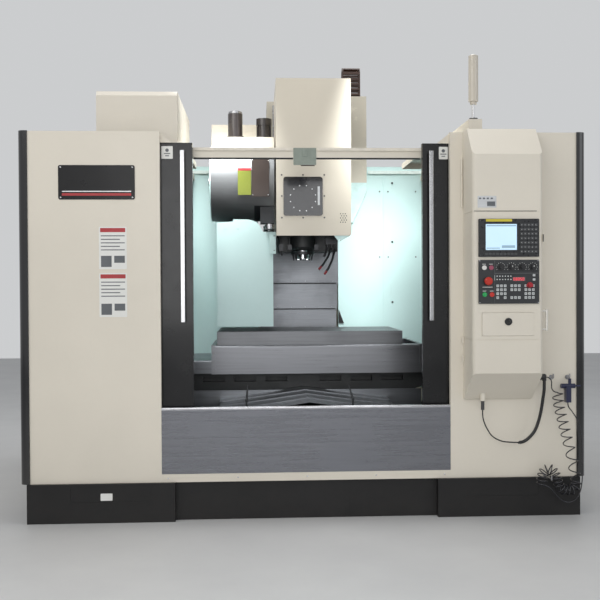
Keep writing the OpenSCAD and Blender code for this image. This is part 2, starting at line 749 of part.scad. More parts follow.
// How far each open door's leading edge stands from the middle
left_door_open = cover_x - door_w - left_door_gap;
right_door_open = cover_x - door_w - right_door_gap;
window_z = 560;
window_h = door_h - window_z - 190;
window_l = door_w - door_frame_w - stile_w;
module door(handle_x) {
    mid = door_t / 2;
    difference() {
        translate([-door_w, 0, 0]) cube([door_w, door_t, door_h]);
        translate([-door_w + door_frame_w, -eps, window_z]) cube([window_l, door_t + 2 * eps, window_h]);
        // Rebate for the glass
        translate([-door_w + door_frame_w - 15, 14, window_z - 15])
            cube([window_l + 30, 8 + 2 * seat, window_h + 30]);
        // Lower panel pressed in from behind
        translate([-door_w + door_frame_w, 6, 70]) cube([window_l, door_t, window_z - 160]);
    }
    translate([-door_w, mid - 6.6, -39.6]) cube([door_w, 13.2, 39.6 + eps]);
    // Hook strip behind its top edge, over the lip of the upper track
    hook_z = header_top - door_z;
    translate([-door_w, door_t - eps, hook_z + 3]) cube([door_w - 90, 13.5 + eps, 6]);
    translate([-door_w, door_t + 8.5, hook_z - track_lip + 6]) cube([door_w - 90, 5, track_lip + 3]);
    // Bar handle on three stand-offs, in front of the leading edge
    hz = door_h - 54 - handle_l;
    translate([-handle_x, -46, hz]) linear_extrude(handle_l) translate([-handle_d / 2, 0])
        round_rect(handle_d, 12, 5);
    for (z = [60, handle_l / 2, handle_l - 60]) rod_y([-handle_x, -35, hz + z], 35 + eps, 14);
}
module door_glass() {
    translate([-door_w + door_frame_w - 15 + seat, 14 + seat, window_z - 15 + seat])
        cube([window_l + 30 - 2 * seat, 8, window_h + 30 - 2 * seat]);
}
module left_door() color("#17181a") placed()
    translate([-left_door_open, door_y, door_z]) door(62);
module left_door_glass() color("#8fa6a8") placed()
    translate([-left_door_open, door_y, door_z]) door_glass();
module right_door() color("#17181a") placed()
    translate([right_door_open, door_y, door_z]) mirror([1, 0, 0]) door(50);
module right_door_glass() color("#8fa6a8") placed()
    translate([right_door_open, door_y, door_z]) mirror([1, 0, 0]) door_glass();

// Mint sheets that close the work space at the rear, left and right of the column cover
module rear_guards() color("#bfe0da") placed() {
    z0 = 640;
    z1 = cover_top + 8;
    side_z1 = roof_z - fold - seat;
    seam_l = -656;
    seam_r = 736;
    edge_l = axis_x - z_cover_w - 4;
    edge_r = axis_x + z_cover_w + 4;
    difference() {
        for (x = [[-inner_x, edge_l], [edge_r, inner_x]]) difference() {
            span(x[0], x[1], guard_y, guard_y + fold, z0, z1);
            span(x[0] + sheet, x[1] - sheet, guard_y + sheet, guard_y + fold + eps, z0 + sheet, z1 - sheet);
        }
        // Seams between the sheets and the notch for the cable trough
        for (x = [seam_l, seam_r]) span(x - 2, x + 2, guard_y - eps, guard_y + 1.5, z0 - eps, z1 + eps);
        translate([0, guard_y + fold + eps, 0]) rotate([90, 0, 0]) linear_extrude(fold + 2 * eps)
            trough_outline(3);
        // Notch for the arm of the tool changer
        span(-606, -434, guard_y - eps, guard_y + fold + eps, hood_z - 116, z1 + eps);
    }
    for (x = [700, 770, 1000], z = [760, 1720, 2260]) rod_y([x, guard_y - 4, z], 4 + eps, 12);
    // Brackets that tie the sheets to the column
    for (x = [edge_l - 60, edge_r + 3], z = [760, 1180])
        span(x, x + 57, guard_y + 1, column_front - seat, z, z + 30);
    // Light top rail, broken by the column
    for (x = [[-inner_x, drum_x0 - 8], [trough_x1 + 12, inner_x]])
        span(x[0], x[1], guard_y - 18, guard_y + eps, z1 - 60, z1 - 34);
    // Side walls of the work space
    for (side = [-1, 1])
        span(side > 0 ? inner_x : -inner_x - sheet, side > 0 ? inner_x + sheet : -inner_x,
            header_y + fold + seat, guard_y + fold, z0, side_z1);
}

// Drum-shaped shell round the tool disc, with the arm's cam box in its right end
module drum_profile(r) {
    intersection() {
        circle(r);
        translate([-r - 1, -r - 1]) square([2 * r + 2, hood_z - seat - drum_z + r + 1]);
    }
}
module magazine_casing() color("#8f9496") placed() {
    wall = 4;
    difference() {
        union() {
            translate([drum_x0, drum_y, drum_z]) rotate([90, 0, 90]) difference() {
                linear_extrude(drum_w) drum_profile(drum_r);
                translate([0, 0, wall]) linear_extrude(drum_w - 2 * wall) union() {
                    circle(drum_r - wall);
                }
                // Mouth at the bottom where a pot swings down
                translate([-70, -drum_r - 20, 130]) cube([140, 120, 150]);
                // Bearing hole of the disc shaft
                translate([0, 0, -eps]) cylinder(h = wall + 2 * eps, d = 70);
            }
            // Cam box that turns and lifts the arm
            span(arm_x - 62, drum_x1, spindle_y - 62, spindle_y + 70, arm_z + 56, drum_z - 60);
            // Block that bolts to the bracket behind
            span(-600, -440, drum_y + drum_r - 60, drum_y + drum_r, hood_z - 110, hood_z - 8);
            // Rolled rim on the left end
            translate([drum_x0 - 6, drum_y, drum_z]) rotate([90, 0, 90]) linear_extrude(7) difference() {
                drum_profile(drum_r);
                circle(drum_r - 14);
            }
        }
        rod_z([arm_x, spindle_y, arm_z + 50], 120, 61);
    }
    // Brown inspection plate on the front
    plate_z0 = 2130;
    plate_y = drum_y - drum_r - 6;
    span(-348, -221, plate_y, plate_y + 5, plate_z0, hood_z - 90);
    for (x = [-340, -236]) span(x, x + 7, plate_y + 4, drum_y - drum_r + 30, drum_z - 90, drum_z + 90);
}

// Tool disc with its pots, turning on a shaft along X
module tool_disc() color("#4a4d50") placed() translate([0, drum_y, drum_z]) {
    disc_x = drum_x0 + 150;
    pot_r = drum_r - 72;
    pot_d = min(58, 2 * pot_r * sin(180 / pot_count) - 6);
    difference() {
        rod_x([disc_x, 0, 0], 24, 2 * (pot_r + 24));
        for (i = [0 : 5]) rotate([i * 60 + 30, 0, 0])
            rod_x([disc_x - eps, 0, pot_r * 0.5], 24 + 2 * eps, 90);
    }
    rod_x([drum_x0 - 26, 0, 0], disc_x - drum_x0 + 26, 68);
    rod_x([disc_x + 23, 0, 0], 60, 120);
    for (i = [0 : pot_count - 1]) rotate([i * 360 / pot_count, 0, 0]) difference() {
        rod_x([disc_x + 23, 0, pot_r], 96, pot_d);
        rod_x([disc_x + 60, 0, pot_r], 96, pot_d - 14);
    }
}

// Double-ended tool arm, parked along Y, with a hooked gripper at each end
module tool_arm() color("#54575a") placed() translate([arm_x, spindle_y, arm_z]) {
    reach = arm_l / 2 - 38;
    difference() {
        union() {
            cylinder(h = 40, d = 80);
            translate([-28, -reach, 4]) cube([56, 2 * reach, 32]);
            for (side = [-1, 1]) translate([0, side * reach, 4]) cylinder(h = 32, d = 76);
        }
        for (side = [-1, 1]) translate([0, side * reach, 0]) {
            cylinder(h = 60, d = 44);
            translate([side > 0 ? 0 : -50, -22, 0]) cube([50, 44, 60]);
        }
    }
    translate([0, 0, 39]) cylinder(h = 90, d = 60);
}

// Sheet hood over the magazine, and the bracket that carries it all on the column
module atc_housing() color("#e9dfca") placed() {
    y0 = drum_y - 200;
    y1 = head_front + head_d - 20;
    difference() {
        translate([0, y1, 0]) rotate([90, 0, 0]) linear_extrude(y1 - y0)
            polygon([[drum_x0, hood_z], [drum_x1, hood_z], [drum_x1, hood_top],
                [drum_x0 + 80, hood_top], [drum_x0, hood_z + 6]]);
        translate([0, y1 - 4, 0]) rotate([90, 0, 0]) linear_extrude(y1 - y0 - 8)
            polygon([[drum_x0 + 8, hood_z - 1], [drum_x1 - 6, hood_z - 1], [drum_x1 - 6, hood_top - 6],
                [drum_x0 + 84, hood_top - 6], [drum_x0 + 8, hood_z + 6]]);
    }
    // Cable box across the hood's rear end
    difference() {
        span(drum_x0 - 14, -300, y1 - 160, y1 - 4, hood_z + 24, hood_top + 164);
        span(drum_x0 - 8, -306, y1 - 154, y1 - 10, hood_top + 6, hood_top + 158);
        for (z = [hood_top + 60, hood_top + 110]) span(drum_x0 - 20, -280, y1 - 161, y1 - 158, z, z + 3);
    }
    z0 = hood_z - 110;
    z1 = hood_z + eps;
    x1 = axis_x - column_top_w / 2;
    difference() {
        span(-600, -440, drum_y + drum_r + seat, column_front + 150, z0, z1);
        span(-592, -448, drum_y + drum_r + 12, column_front + 142, z0 + 8, z1 + eps);
    }
    span(-440 - eps, x1 - seat, column_front + 30, column_front + 150, z0, z1);
}

// Motors on the hood: the magazine's and the arm's
module atc_motors() color("#2a2422") placed() {
    y = drum_y - 125;
    z = hood_top + seat;
    rod_z([-468, y, z], 14, 130);
    rod_z([-468, y, z + 13], 170, 108);
    rod_z([-468, y, z + 182], 14, 100);
    rod_z([-468, y, z + 195], 8, 60);
    span(-500, -436, y + 40, y + 84, z + 60, z + 120);
    rod_z([-256, y, z], 12, 122);
    rod_z([-256, y, z + 11], 84, 98);
    rod_z([-256, y, z + 94], 50, 116);
    for (a = [0 : 30 : 330]) translate([-256, y, z + 11]) rotate([0, 0, a])
        translate([47, -3, 0]) cube([8, 6, 80]);
}

// Mint guard under the magazine: a bent sheet with an arched top and a flanged right end
module magazine_guard() color("#bfe0da") placed() {
    y = 802;
    z0 = table_top + 40;
    x0 = -602;
    x1 = -196;
    translate([0, y + sheet, 0]) rotate([90, 0, 0]) linear_extrude(sheet)
        polygon([[x0, z0], [x1, z0], [x1, arm_z - 12], [-268, arm_z - 12], [-292, 1922], [-318, 1948],
            [-350, 1960], [-380, 1966], [-480, 1966], [-487, 1950], [x0, 1944]]);
    span(x0, x0 + sheet, y + sheet - eps, guard_y - seat, z0, 1870);
    span(x1 - sheet, x1, y + sheet - eps, 1460, z0, arm_z - 24);
    span(x0, x1, y + sheet - eps, y + 34, z0, z0 + sheet);
    for (x = [-540, -450]) rod_y([x, y - 3, 1902], 3 + eps, 12);
    difference() {
        span(x1 - 26, x1 + 20, y - 22, y + eps, 1716, arm_z - 14);
        for (z = [1740, 1846]) rod_y([x1 + 8, y - 30, z], 40, 9);
    }
}

// Telescopic cover on the column's front: a fixed lower plate and two that follow the head
module z_plate(level, z0, z1) {
    y = guard_y - level * nest;
    w = z_cover_w - (3 - level) * nest;
    span(axis_x - w, axis_x + w, y, y + plate_t, z0, z1);
    for (side = [-1, 1]) span(axis_x + side * (w - plate_t / 2) - plate_t / 2,
        axis_x + side * (w - plate_t / 2) + plate_t / 2, y + plate_t - eps, y + 20 + level * nest, z0, z1);
    // Wiper edge along the bottom
    if (level > 1) span(axis_x - w + 12, axis_x + w - 12, y - 2, y + nest - 0.5, z0, z0 + 14);
}
z_upper_z = 1500;
z_middle_z = 1290;
z_foot = 700;
module z_cover_lower_body() {
    z_plate(1, z_foot, z_middle_z + z_travel_up / 2 + cover_lap);
    w = z_cover_w - 2 * nest;
    for (side = [-1, 1], z = [760, 1380])
        span(axis_x + side * (w - 15) - 15, axis_x + side * (w - 15) + 15, guard_y + 10,
            column_front - seat, z, z + 40);
}
module z_cover_lower() color("#7d8285") placed()
    z_cover_lower_body();
module z_cover_middle() color("#7d8285") placed()
    z_plate(2, z_middle_z, z_upper_z + z_travel_up / 2 + cover_lap);
module z_cover_upper() color("#7d8285") placed()
    z_plate(3, z_upper_z, head_bottom + 60);

// Roof-shaped plate of the cover before the cross slide; level 0 is the innermost
module roof_plate(level, y0) {
    ridge = roof_ridge_z - (3 - level) * nest;
    w = roof_cover_w - (3 - level) * nest;
    translate([axis_x, y0 + y_plate_l, 0]) rotate([90, 0, 0]) linear_extrude(y_plate_l)
        polygon([[-w, ridge - roof_drop - 30], [-w, ridge - roof_drop], [0, ridge],
            [w, ridge - roof_drop], [w, ridge - roof_drop - 30],
            [w - plate_t, ridge - roof_drop - 30], [w - plate_t, ridge - roof_drop - plate_t],
            [0, ridge - plate_t], [-w + plate_t, ridge - roof_drop - plate_t],
            [-w + plate_t, ridge - roof_drop - 30]]);
    // Wiper strip under its front edge, just over the next plate
    if (level > 0) translate([axis_x, y0 + 12, 0]) rotate([90, 0, 0]) linear_extrude(12)
        for (side = [-1, 1]) polygon([[0, ridge - 1], [side * (w - 20),
            ridge - 1 - roof_drop * (w - 20) / w],
            [side * (w - 20), ridge - nest + 0.5 - roof_drop * (w - 20) / w], [0, ridge - nest + 0.5]]);
}
module y_cover_front() color("#9aa0a2") placed() {
    roof_plate(0, cover_start);
    // Two stands that carry the fixed plate over the bed's front
    for (side = [-1, 1]) span(axis_x + side * 470 - 20, axis_x + side * 470 + 20, bed_front + 46,
        bed_front + 80, bed_top + seat,
            roof_ridge_z - 3 * nest - roof_drop * 490 / (roof_cover_w - 3 * nest) - 1);
}
module y_cover_second() color("#9aa0a2") placed() roof_plate(1, cover_start + y_travel_front / 3);
module y_cover_third() color("#9aa0a2") placed() roof_plate(2, cover_start + y_travel_front * 2 / 3);

// Tunnel with rounded shoulders over the X rails; level 0 is the fixed, inner one
module x_tunnel(level, x0, x1) {
    out = (2 - level) * nest;
    y0 = table_front - 8 + out;
    y1 = table_back + 8 - out;
    top = tunnel_top - (1 - level) * nest;
    z0 = guard_z + 4;
    r = 20;
    translate([x0, 0, 0]) rotate([90, 0, 90]) linear_extrude(x1 - x0) {
        difference() {
            union() {
                translate([y0, z0]) square([y1 - y0, top - z0 - r]);
                translate([y0 + r, z0]) square([y1 - y0 - 2 * r, top - z0]);
                for (y = [y0 + r, y1 - r]) translate([y, top - r]) circle(r);
            }
            translate([y0 + plate_t, z0 - 1]) square([y1 - y0 - 2 * plate_t, top - z0 - r + 1]);
            translate([y0 + r, z0 - 1]) square([y1 - y0 - 2 * r, top - z0 + 1 - plate_t]);
            for (y = [y0 + r, y1 - r]) translate([y, top - r]) circle(r - plate_t);
        }
    }
}
module tunnel_wiper(x) {
    span(x, x + 12, table_front + 30, table_back - 30, tunnel_top - nest + 0.5, tunnel_top - 1);
}

// Sheet metal on the cross slide: front plate, last roof plate and the two fixed tunnels
module slide_covers() color("#a9aeae") placed() {
    roof_plate(3, y_plate_y);
    x = 860;
    top = 728;
    low = 600;
    difference() {
        span(axis_x - x, axis_x + x, front_plate_y, front_plate_y + 3, low, top);
        translate([axis_x, front_plate_y + 10, 0]) rotate([90, 0, 0]) linear_extrude(20)
            polygon([[-roof_cover_w + 1, low - 1], [-roof_cover_w + 1, roof_ridge_z - roof_drop - 1],
                [0, roof_ridge_z - 1], [roof_cover_w - 1, roof_ridge_z - roof_drop - 1],
                [roof_cover_w - 1, low - 1]]);
    }
    for (side = [-1, 1]) span(axis_x + side * (x - 20) - 20, axis_x + side * (x - 20) + 20,
        front_plate_y + 3 + seat, slide_front - seat, slide_z + 10, 700);
    x_tunnel(0, -x_end, -x_end + x_fixed_l_left);
    x_tunnel(0, x_end - x_fixed_l_right, x_end);
}
module x_cover_left() color("#8b9092") placed() {
    x1 = table_x - guard_x + 225;
    x_tunnel(1, x1 - x_plate_l_left, x1);
    tunnel_wiper(x1 - x_plate_l_left);
}
module x_cover_right() color("#8b9092") placed() {
    x0 = guard_x1 - 353;
    x_tunnel(1, x0, x0 + x_plate_l_right);
    tunnel_wiper(x0 + x_plate_l_right - 12);
}

// Cross slide: ribbed casting that carries the X rails, on four carriages on the Y rails
module cross_slide() color("#33383a") placed() {
    y1 = slide_front + slide_d;
    half = slide_l / 2;
    difference() {
        translate([axis_x, y1, slide_z]) rotate([90, 0, 0]) linear_extrude(slide_d)
            polygon([[-half, slide_h], [-half, slide_h - 70], [-bed_w / 2 + 40, 0],
                [bed_w / 2 - 40, 0], [half, slide_h - 70], [half, slide_h]]);
        // Trough between the rails for the X screw
        span(axis_x - half - eps, axis_x + half + eps, table_y - x_rail_y + 90, table_y + x_rail_y - 90,
            slide_top - 80, slide_top + eps);
        // Tunnel for the Y screw underneath
        span(axis_x - 75, axis_x + 75, slide_front - eps, y1 + eps, slide_z - eps, slide_z + 40);
        // Cast pockets in the front and rear walls
        for (side = [-1, 1], i = [0 : 2], y = [slide_front - eps, y1 - 50])
            span(axis_x + side * (200 + i * 230) - 80, axis_x + side * (200 + i * 230) + 80, y, y
                + 50 + eps,
                slide_top - 60, slide_top - 24);
    }
    // Nut of the Y screw
    difference() {
        span(axis_x - 55, axis_x + 55, table_y - 60, table_y + 60, bed_top - 78, slide_z + 60);
        rod_y([axis_x, table_y - 61, bed_top - 30], 122, screw_d + 1);
    }
    for (side = [-1, 1], y = [-y_carriage, y_carriage])
        translate([axis_x + side * y_rail_x, table_y + y, bed_top]) rotate([0, 0, 90]) carriage();
    // Arms that carry the ends of the covers
    for (side = [-1, 1], y = [table_y - 120, table_y + 120])
        span(side > 0 ? axis_x + half - 40 : -x_end, side > 0 ? x_end : axis_x - half + 40,
            y - 20, y + 20, slide_top - 60, slide_top - 20);
    for (side = [-1, 1]) span(side > 0 ? x_end - 8 : -x_end, side > 0 ? x_end : -x_end + 8,
        table_front + 40, table_back - 40, slide_top - 60, tunnel_top - nest - plate_t - seat);
}

// X rails and ball screw on the cross slide
module x_guides() color("silver") placed() {
    half = slide_l / 2 - 20;
    for (side = [-1, 1]) translate([axis_x - half, table_y + side * x_rail_y, slide_top + seat])
        rail(2 * half);
    rod_x([axis_x - half + 60, table_y, slide_top - 30], 2 * half - 160, screw_d);
    for (x = [axis_x - half + 60, axis_x + half - 120])
        span(x, x + 50, table_y - 60, table_y + 60, slide_top - 80 + seat, slide_top + 10);
    translate([axis_x + half - 70, table_y, slide_top - 30]) rotate([0, 90, 0]) scale(0.55) servo(140, 120);
}

// Table: slotted plate on pads and four carriages
module table() color("#9b9fa0") placed() {
    half = table_l / 2;
    difference() {
        span(table_x - half, table_x + half, table_front, table_back, plate_z, table_top);
        for (i = [-(slot_count - 1) / 2 : (slot_count - 1) / 2]) {
            y = table_y + i * slot_pitch;
            span(table_x - half - eps, table_x + half + eps, y - slot_w / 2, y + slot_w / 2,
                table_top - 32, table_top + eps);
            span(table_x - half - eps, table_x + half + eps, y - slot_w * 0.83, y + slot_w * 0.83,
                table_top - 32, table_top - 18);
        }
        // Coolant channel along the front and the back
        for (y = [table_front + 22, table_back - 46])
            span(table_x - half + 24, table_x + half - 24, y, y + 24, table_top - 10, table_top + eps);
    }
    for (side = [-1, 1]) {
        y = table_y + side * x_rail_y;
        span(table_x - x_carriage - carriage_l / 2, table_x + x_carriage + carriage_l / 2, y - 62, y + 62,
            pad_z, plate_z + eps);
        for (x = [-x_carriage, x_carriage]) translate([table_x + x, y, slide_top]) carriage();
    }
    // Nut bracket over the X screw
    difference() {
        span(table_x - 70, table_x + 70, table_y - 70, table_y + 70, slide_top - 66, plate_z + eps);
        rod_x([table_x - 80, table_y, slide_top - 30], 160, screw_d + 1);
        span(table_x - 80, table_x + 80, table_y - 80, table_y + 80, slide_top - 80, slide_top - 66);
    }
    for (side = [-1, 1]) span(table_x - 60, table_x + 60, table_y + side * 125 - 65, table_y
        + side * 125 + 65,
        pad_z + 20, plate_z + eps);
}

// Folded guard round the table, open below, with a rolled top edge and flanged ends
module guard_side(x0, x1, inset) {
    r = 16;
    y0 = table_front - 14 + inset;
    y1 = table_back + 14 - inset;
    top = plate_z - seat;
    translate([x0, 0, 0]) rotate([90, 0, 90]) linear_extrude(x1 - x0) for (m = [0, 1])
        translate([m ? y0 + y1 : 0, 0]) mirror([m, 0]) {
            translate([y0, guard_z]) square([sheet, guard_h - seat - r]);
            translate([y0 + r, top - sheet]) square([table_d / 2 - x_rail_y - 50 - inset - r, sheet]);
            translate([y0 + r, top - r]) difference() {
                circle(r);
                circle(r - sheet);
                translate([0, -2 * r]) square([2 * r, 4 * r]);
                translate([-2 * r, -2 * r]) square([4 * r, 2 * r]);
            }
        }
}
module table_guard() color("silver") placed() {
    x0 = table_x - guard_x;
    x1 = table_x + guard_x;
    y0 = table_front - 14;
    y1 = table_back + 14;
    top = plate_z - seat;
    guard_side(x0, x1 + eps, 0);
    guard_side(x1, guard_x1, 1.5);
    for (x = [x0 - 8, guard_x1 - 28]) difference() {
        span(x, x + 28, y0 - 3, y1 + 3, guard_z, top);
        span(x - eps, x + 28 + eps, y0 + 1, y1 - 1, guard_z - eps, top - sheet);
    }
    // End plates that close the guard down to the sliding covers
    for (x = [x0 - 8, guard_x1 - 3]) difference() {
        span(x, x + 3, y0, y1, guard_z, top - 1);
        span(x - eps, x + 3 + eps, table_front - 8 + nest - 0.5, table_back + 8 - nest + 0.5, guard_z - eps,
            tunnel_top + 0.5);
    }
    for (x = [x0 + 4, x0 + 460, x1 - 60]) rod_y([x + 20, y0 - 4, guard_z + 30], 4 + eps, 12);
}

// Head casting: the box on the Z carriages, its lower face and the spindle housing
module head_casting() color("#1e2022") placed() {
    z0 = head_bottom - 104;
    y1 = column_front - guide_h;
    difference() {
        union() {
            span(-150, 285, spindle_y + 10, 1240, z0, head_bottom + 20);
            span(axis_x - 160, axis_x + 260, 760, 1490, head_bottom + 20, head_bottom + 420);
            span(axis_x - 230, axis_x + 230, head_front + head_d + seat, y1, head_bottom + 80,
                head_bottom + 760);
            // Bracket that pulls the way cover along
            span(axis_x - 200, axis_x + 200, head_front + head_d + seat, guard_y - 3 * nest - seat,
                head_bottom + 30, head_bottom + 81);
            rod_z([axis_x, spindle_y, nose_z + 87], head_bottom - nose_z - 60, housing_d);
            translate([axis_x, spindle_y, nose_z + 62]) cylinder(h = 26, d1 = housing_d - 34,
                d2 = housing_d);
        }
        rod_z([axis_x, spindle_y, nose_z + 61], 260, spindle_d + 1);
        rod_z([axis_x, spindle_y, nose_z + 40], 22.5, spindle_d + 16);
        // Cast pockets in the sides of the box
        for (side = [-1, 1]) span(side > 0 ? axis_x + 190 : axis_x - 161, side > 0 ? axis_x + 261
            : axis_x - 120,
            1020, 1380, head_bottom + 110, head_bottom + 330);
    }
    for (side = [-1, 1], z = [head_bottom + 180, head_bottom + 620])
        translate([axis_x + side * z_rail_x, column_front, z]) rotate([0, -90, 90]) carriage();
    // Nut of the Z screw
    difference() {
        span(axis_x - 50, axis_x + 50, y1 - eps, column_front - 8, head_bottom + 340, head_bottom + 440);
        rod_z([axis_x, column_front - 36, head_bottom + 339], 102, screw_d + 1);
    }
    // Spindle motor upright over the housing
    translate([axis_x, spindle_y, head_bottom + 420 - eps]) {
        cylinder(h = 24, d = 300);
        translate([-125, -125, 23]) cube([250, 250, 330]);
        translate([0, 0, 352]) cylinder(h = 60, d = 236);
        translate([125 - eps, -50, 230]) cube([60, 100, 90]);
    }
}

// Sheet cover over the head, open at the bottom and towards the column
module head_cover() color("#e4dccb") placed() {
    t = 3;
    y1 = head_front + head_d;
    z_low = head_bottom - 28;
    wx0 = -110;
    wz0 = 1996;
    difference() {
        translate([0, y1, 0]) rotate([90, 0, 0]) linear_extrude(head_d)
            polygon([[cover_l, head_bottom], [cover_r - 8, head_bottom], [cover_r, head_bottom + 8],
                [cover_r, head_top], [cover_l, head_top]]);
        translate([0, y1 + eps, 0]) rotate([90, 0, 0]) linear_extrude(head_d - t + eps)
            polygon([[cover_l + t, head_bottom - 1], [cover_r - 8 - t, head_bottom - 1],
                [cover_r - t, head_bottom + 8 + t], [cover_r - t, head_top - t], [cover_l + t,
                    head_top - t]]);
        // Window opening
        translate([0, head_front + t + 1, 0]) rotate([90, 0, 0]) linear_extrude(t + 2)
            translate([wx0, wz0]) round_rect(window_w, window_w - 4, 14);
    }
    // Turned-in lower edge beside the hoses
    translate([0, head_front + 2 * t, 0]) rotate([90, 0, 0]) linear_extrude(t + eps)
        polygon([[236, head_bottom + 4], [cover_r - 6, head_bottom + 4], [296, head_bottom - 32],
            [262, head_bottom - 32]]);
    // Screws round the window
    for (x = [wx0 - 24, wx0 + window_w / 2, wx0 + window_w + 24], z = [wz0 - 26, wz0 + window_w / 2,
        wz0 + window_w + 22])
        if (!(x == wx0 + window_w / 2 && z == wz0 + window_w / 2))
            rod_y([x, head_front - 4, z], 4 + eps, 12);
}

// Black window insert in the head cover with its ring of screws
module head_window() color("#26282c") placed() {
    x0 = -110;
    z0 = 1996;
    w = window_w;
    difference() {
        face_plate(x0 - 12, z0 - 12, head_front - 8, w + 24, w + 20, 8 - seat, 18);
        face_plate(x0 + 12, z0 + 12, head_front - 9, w - 24, w - 28, 4, 10);
    }
    for (a = [0 : 30 : 330]) rod_y([x0 + 110 + 92 * cos(a), head_front - 7, z0 + 124 + 92 * sin(a)],
        3 + eps, 11);
    rod_y([x0 + 110, head_front - 8, z0 + 124], 4 + eps, 40);
    face_plate(x0 + w - 30, z0 + 62, head_front - 9, 22, 134, 5, 3);
}

// Spindle: nose flange, drive keys and a taper socket, turning in the housing
module spindle() color("#c9ccce") placed() translate([axis_x, spindle_y, nose_z]) {
    difference() {
        union() {
            translate([0, 0, 56]) cylinder(h = 250, d = spindle_d);
            translate([0, 0, 8]) cylinder(h = 52, d = spindle_d + 12);
            cylinder(h = 24, d = spindle_d - 8);
        }
        translate([0, 0, -eps]) cylinder(h = 66, d1 = 44.5, d2 = 25);
        translate([0, 0, 60]) cylinder(h = 120, d = 18);
    }
    // Two drive keys on the nose
    for (side = [-1, 1]) translate([side * 31 - 7, -8, -6]) cube([14, 16, 8]);
}

// Coolant ring under the housing with its nozzles, two lines beside the housing and the three
// jointed hoses on the right
module coolant_nozzles() color("#6f7274") placed() {
    difference() {
        rod_z([axis_x, spindle_y, nose_z + 32], 24 - seat, housing_d - 18);
        rod_z([axis_x, spindle_y, nose_z + 31], 26, spindle_d + 28);
    }
    for (a = [195 : 30 : 345]) translate([axis_x, spindle_y, nose_z + 34]) rotate([0, 0, a])
        translate([74, 0, 0]) rotate([0, 188, 0]) cylinder(h = 46, d1 = 18, d2 = 9);
    difference() {
        union() for (side = [-1, 1]) {
            span(axis_x + side * 98 - 15, axis_x + side * 98 + 15, 878, 940, nose_z + 66, nose_z + 104);
            rod_z([axis_x + side * 98, 898, nose_z + 103], head_bottom - nose_z - 84, 12);
        }
        rod_z([axis_x, spindle_y, nose_z + 50], 200, housing_d + 2 * seat);
    }
    y = spindle_y + 10 - seat;
    z = head_bottom - 18;
    span(-150, -118, y - 22, y, z - 80, z - 30);
    rod_z([-140, y - 12, z - 31], 56, 14);
    rod_z([-129, y - 12, z - 118], 39, 10);
    span(196, 285, y - 34, y, z - 34, z + 10);
    w = z - 34 - seat;
    tube([[266, y - 12, w], [266, y - 12, w - 30], [248, y - 30, w - 106], [216, y - 50, w - 174],
        [184, y - 62, w - 222]], 17, 10);
    tube([[238, y - 12, w], [238, y - 12, w - 28], [214, y - 30, w - 90], [176, y - 50, w - 148],
        [142, y - 62, w - 186]], 17, 10);
    tube([[210, y - 12, w], [210, y - 12, w - 26], [197, y - 18, w - 68], [184, y - 22, w - 92]], 17, 10);
}

// Cable chain that loops over the top of the trough: two legs and a half turn, with a
// pocket through every link and a groove where links meet
chain_w = 146;
chain_link_l = 42;
chain_t = 24;
chain_r = 43.4;
module chain_cut() {
    cube([chain_w - 16, chain_t + 8, chain_link_l - 15], center = true);
    for (side = [-1, 1]) translate([side * chain_w / 2, 0, chain_link_l / 2]) cube([4, chain_t + 8, 3],
        center = true);
}
module cable_chain() color("#3a2a22") placed() {
    legs = 9 * chain_link_l;
    translate([470, column_front - trough_d / 2, 3228]) difference() {
        union() {
            for (side = [-1, 1]) translate([-chain_w / 2, side * chain_r - chain_t / 2, -legs])
                cube([chain_w, chain_t, legs + 1]);
            difference() {
                rod_x([-chain_w / 2, 0, 0], chain_w, 2 * chain_r + chain_t);
                rod_x([-chain_w, 0, 0], 2 * chain_w, 2 * chain_r - chain_t);
                translate([-chain_w, -200, -400]) cube([2 * chain_w, 400, 400.5]);
            }
        }
        for (side = [-1, 1], i = [0 : 8]) translate([0, side * chain_r, -chain_link_l * (i + 0.5)])
            chain_cut();
        for (a = [30 : 60 : 150]) rotate([a, 0, 0]) translate([0, chain_r, 0]) chain_cut();
    }
}

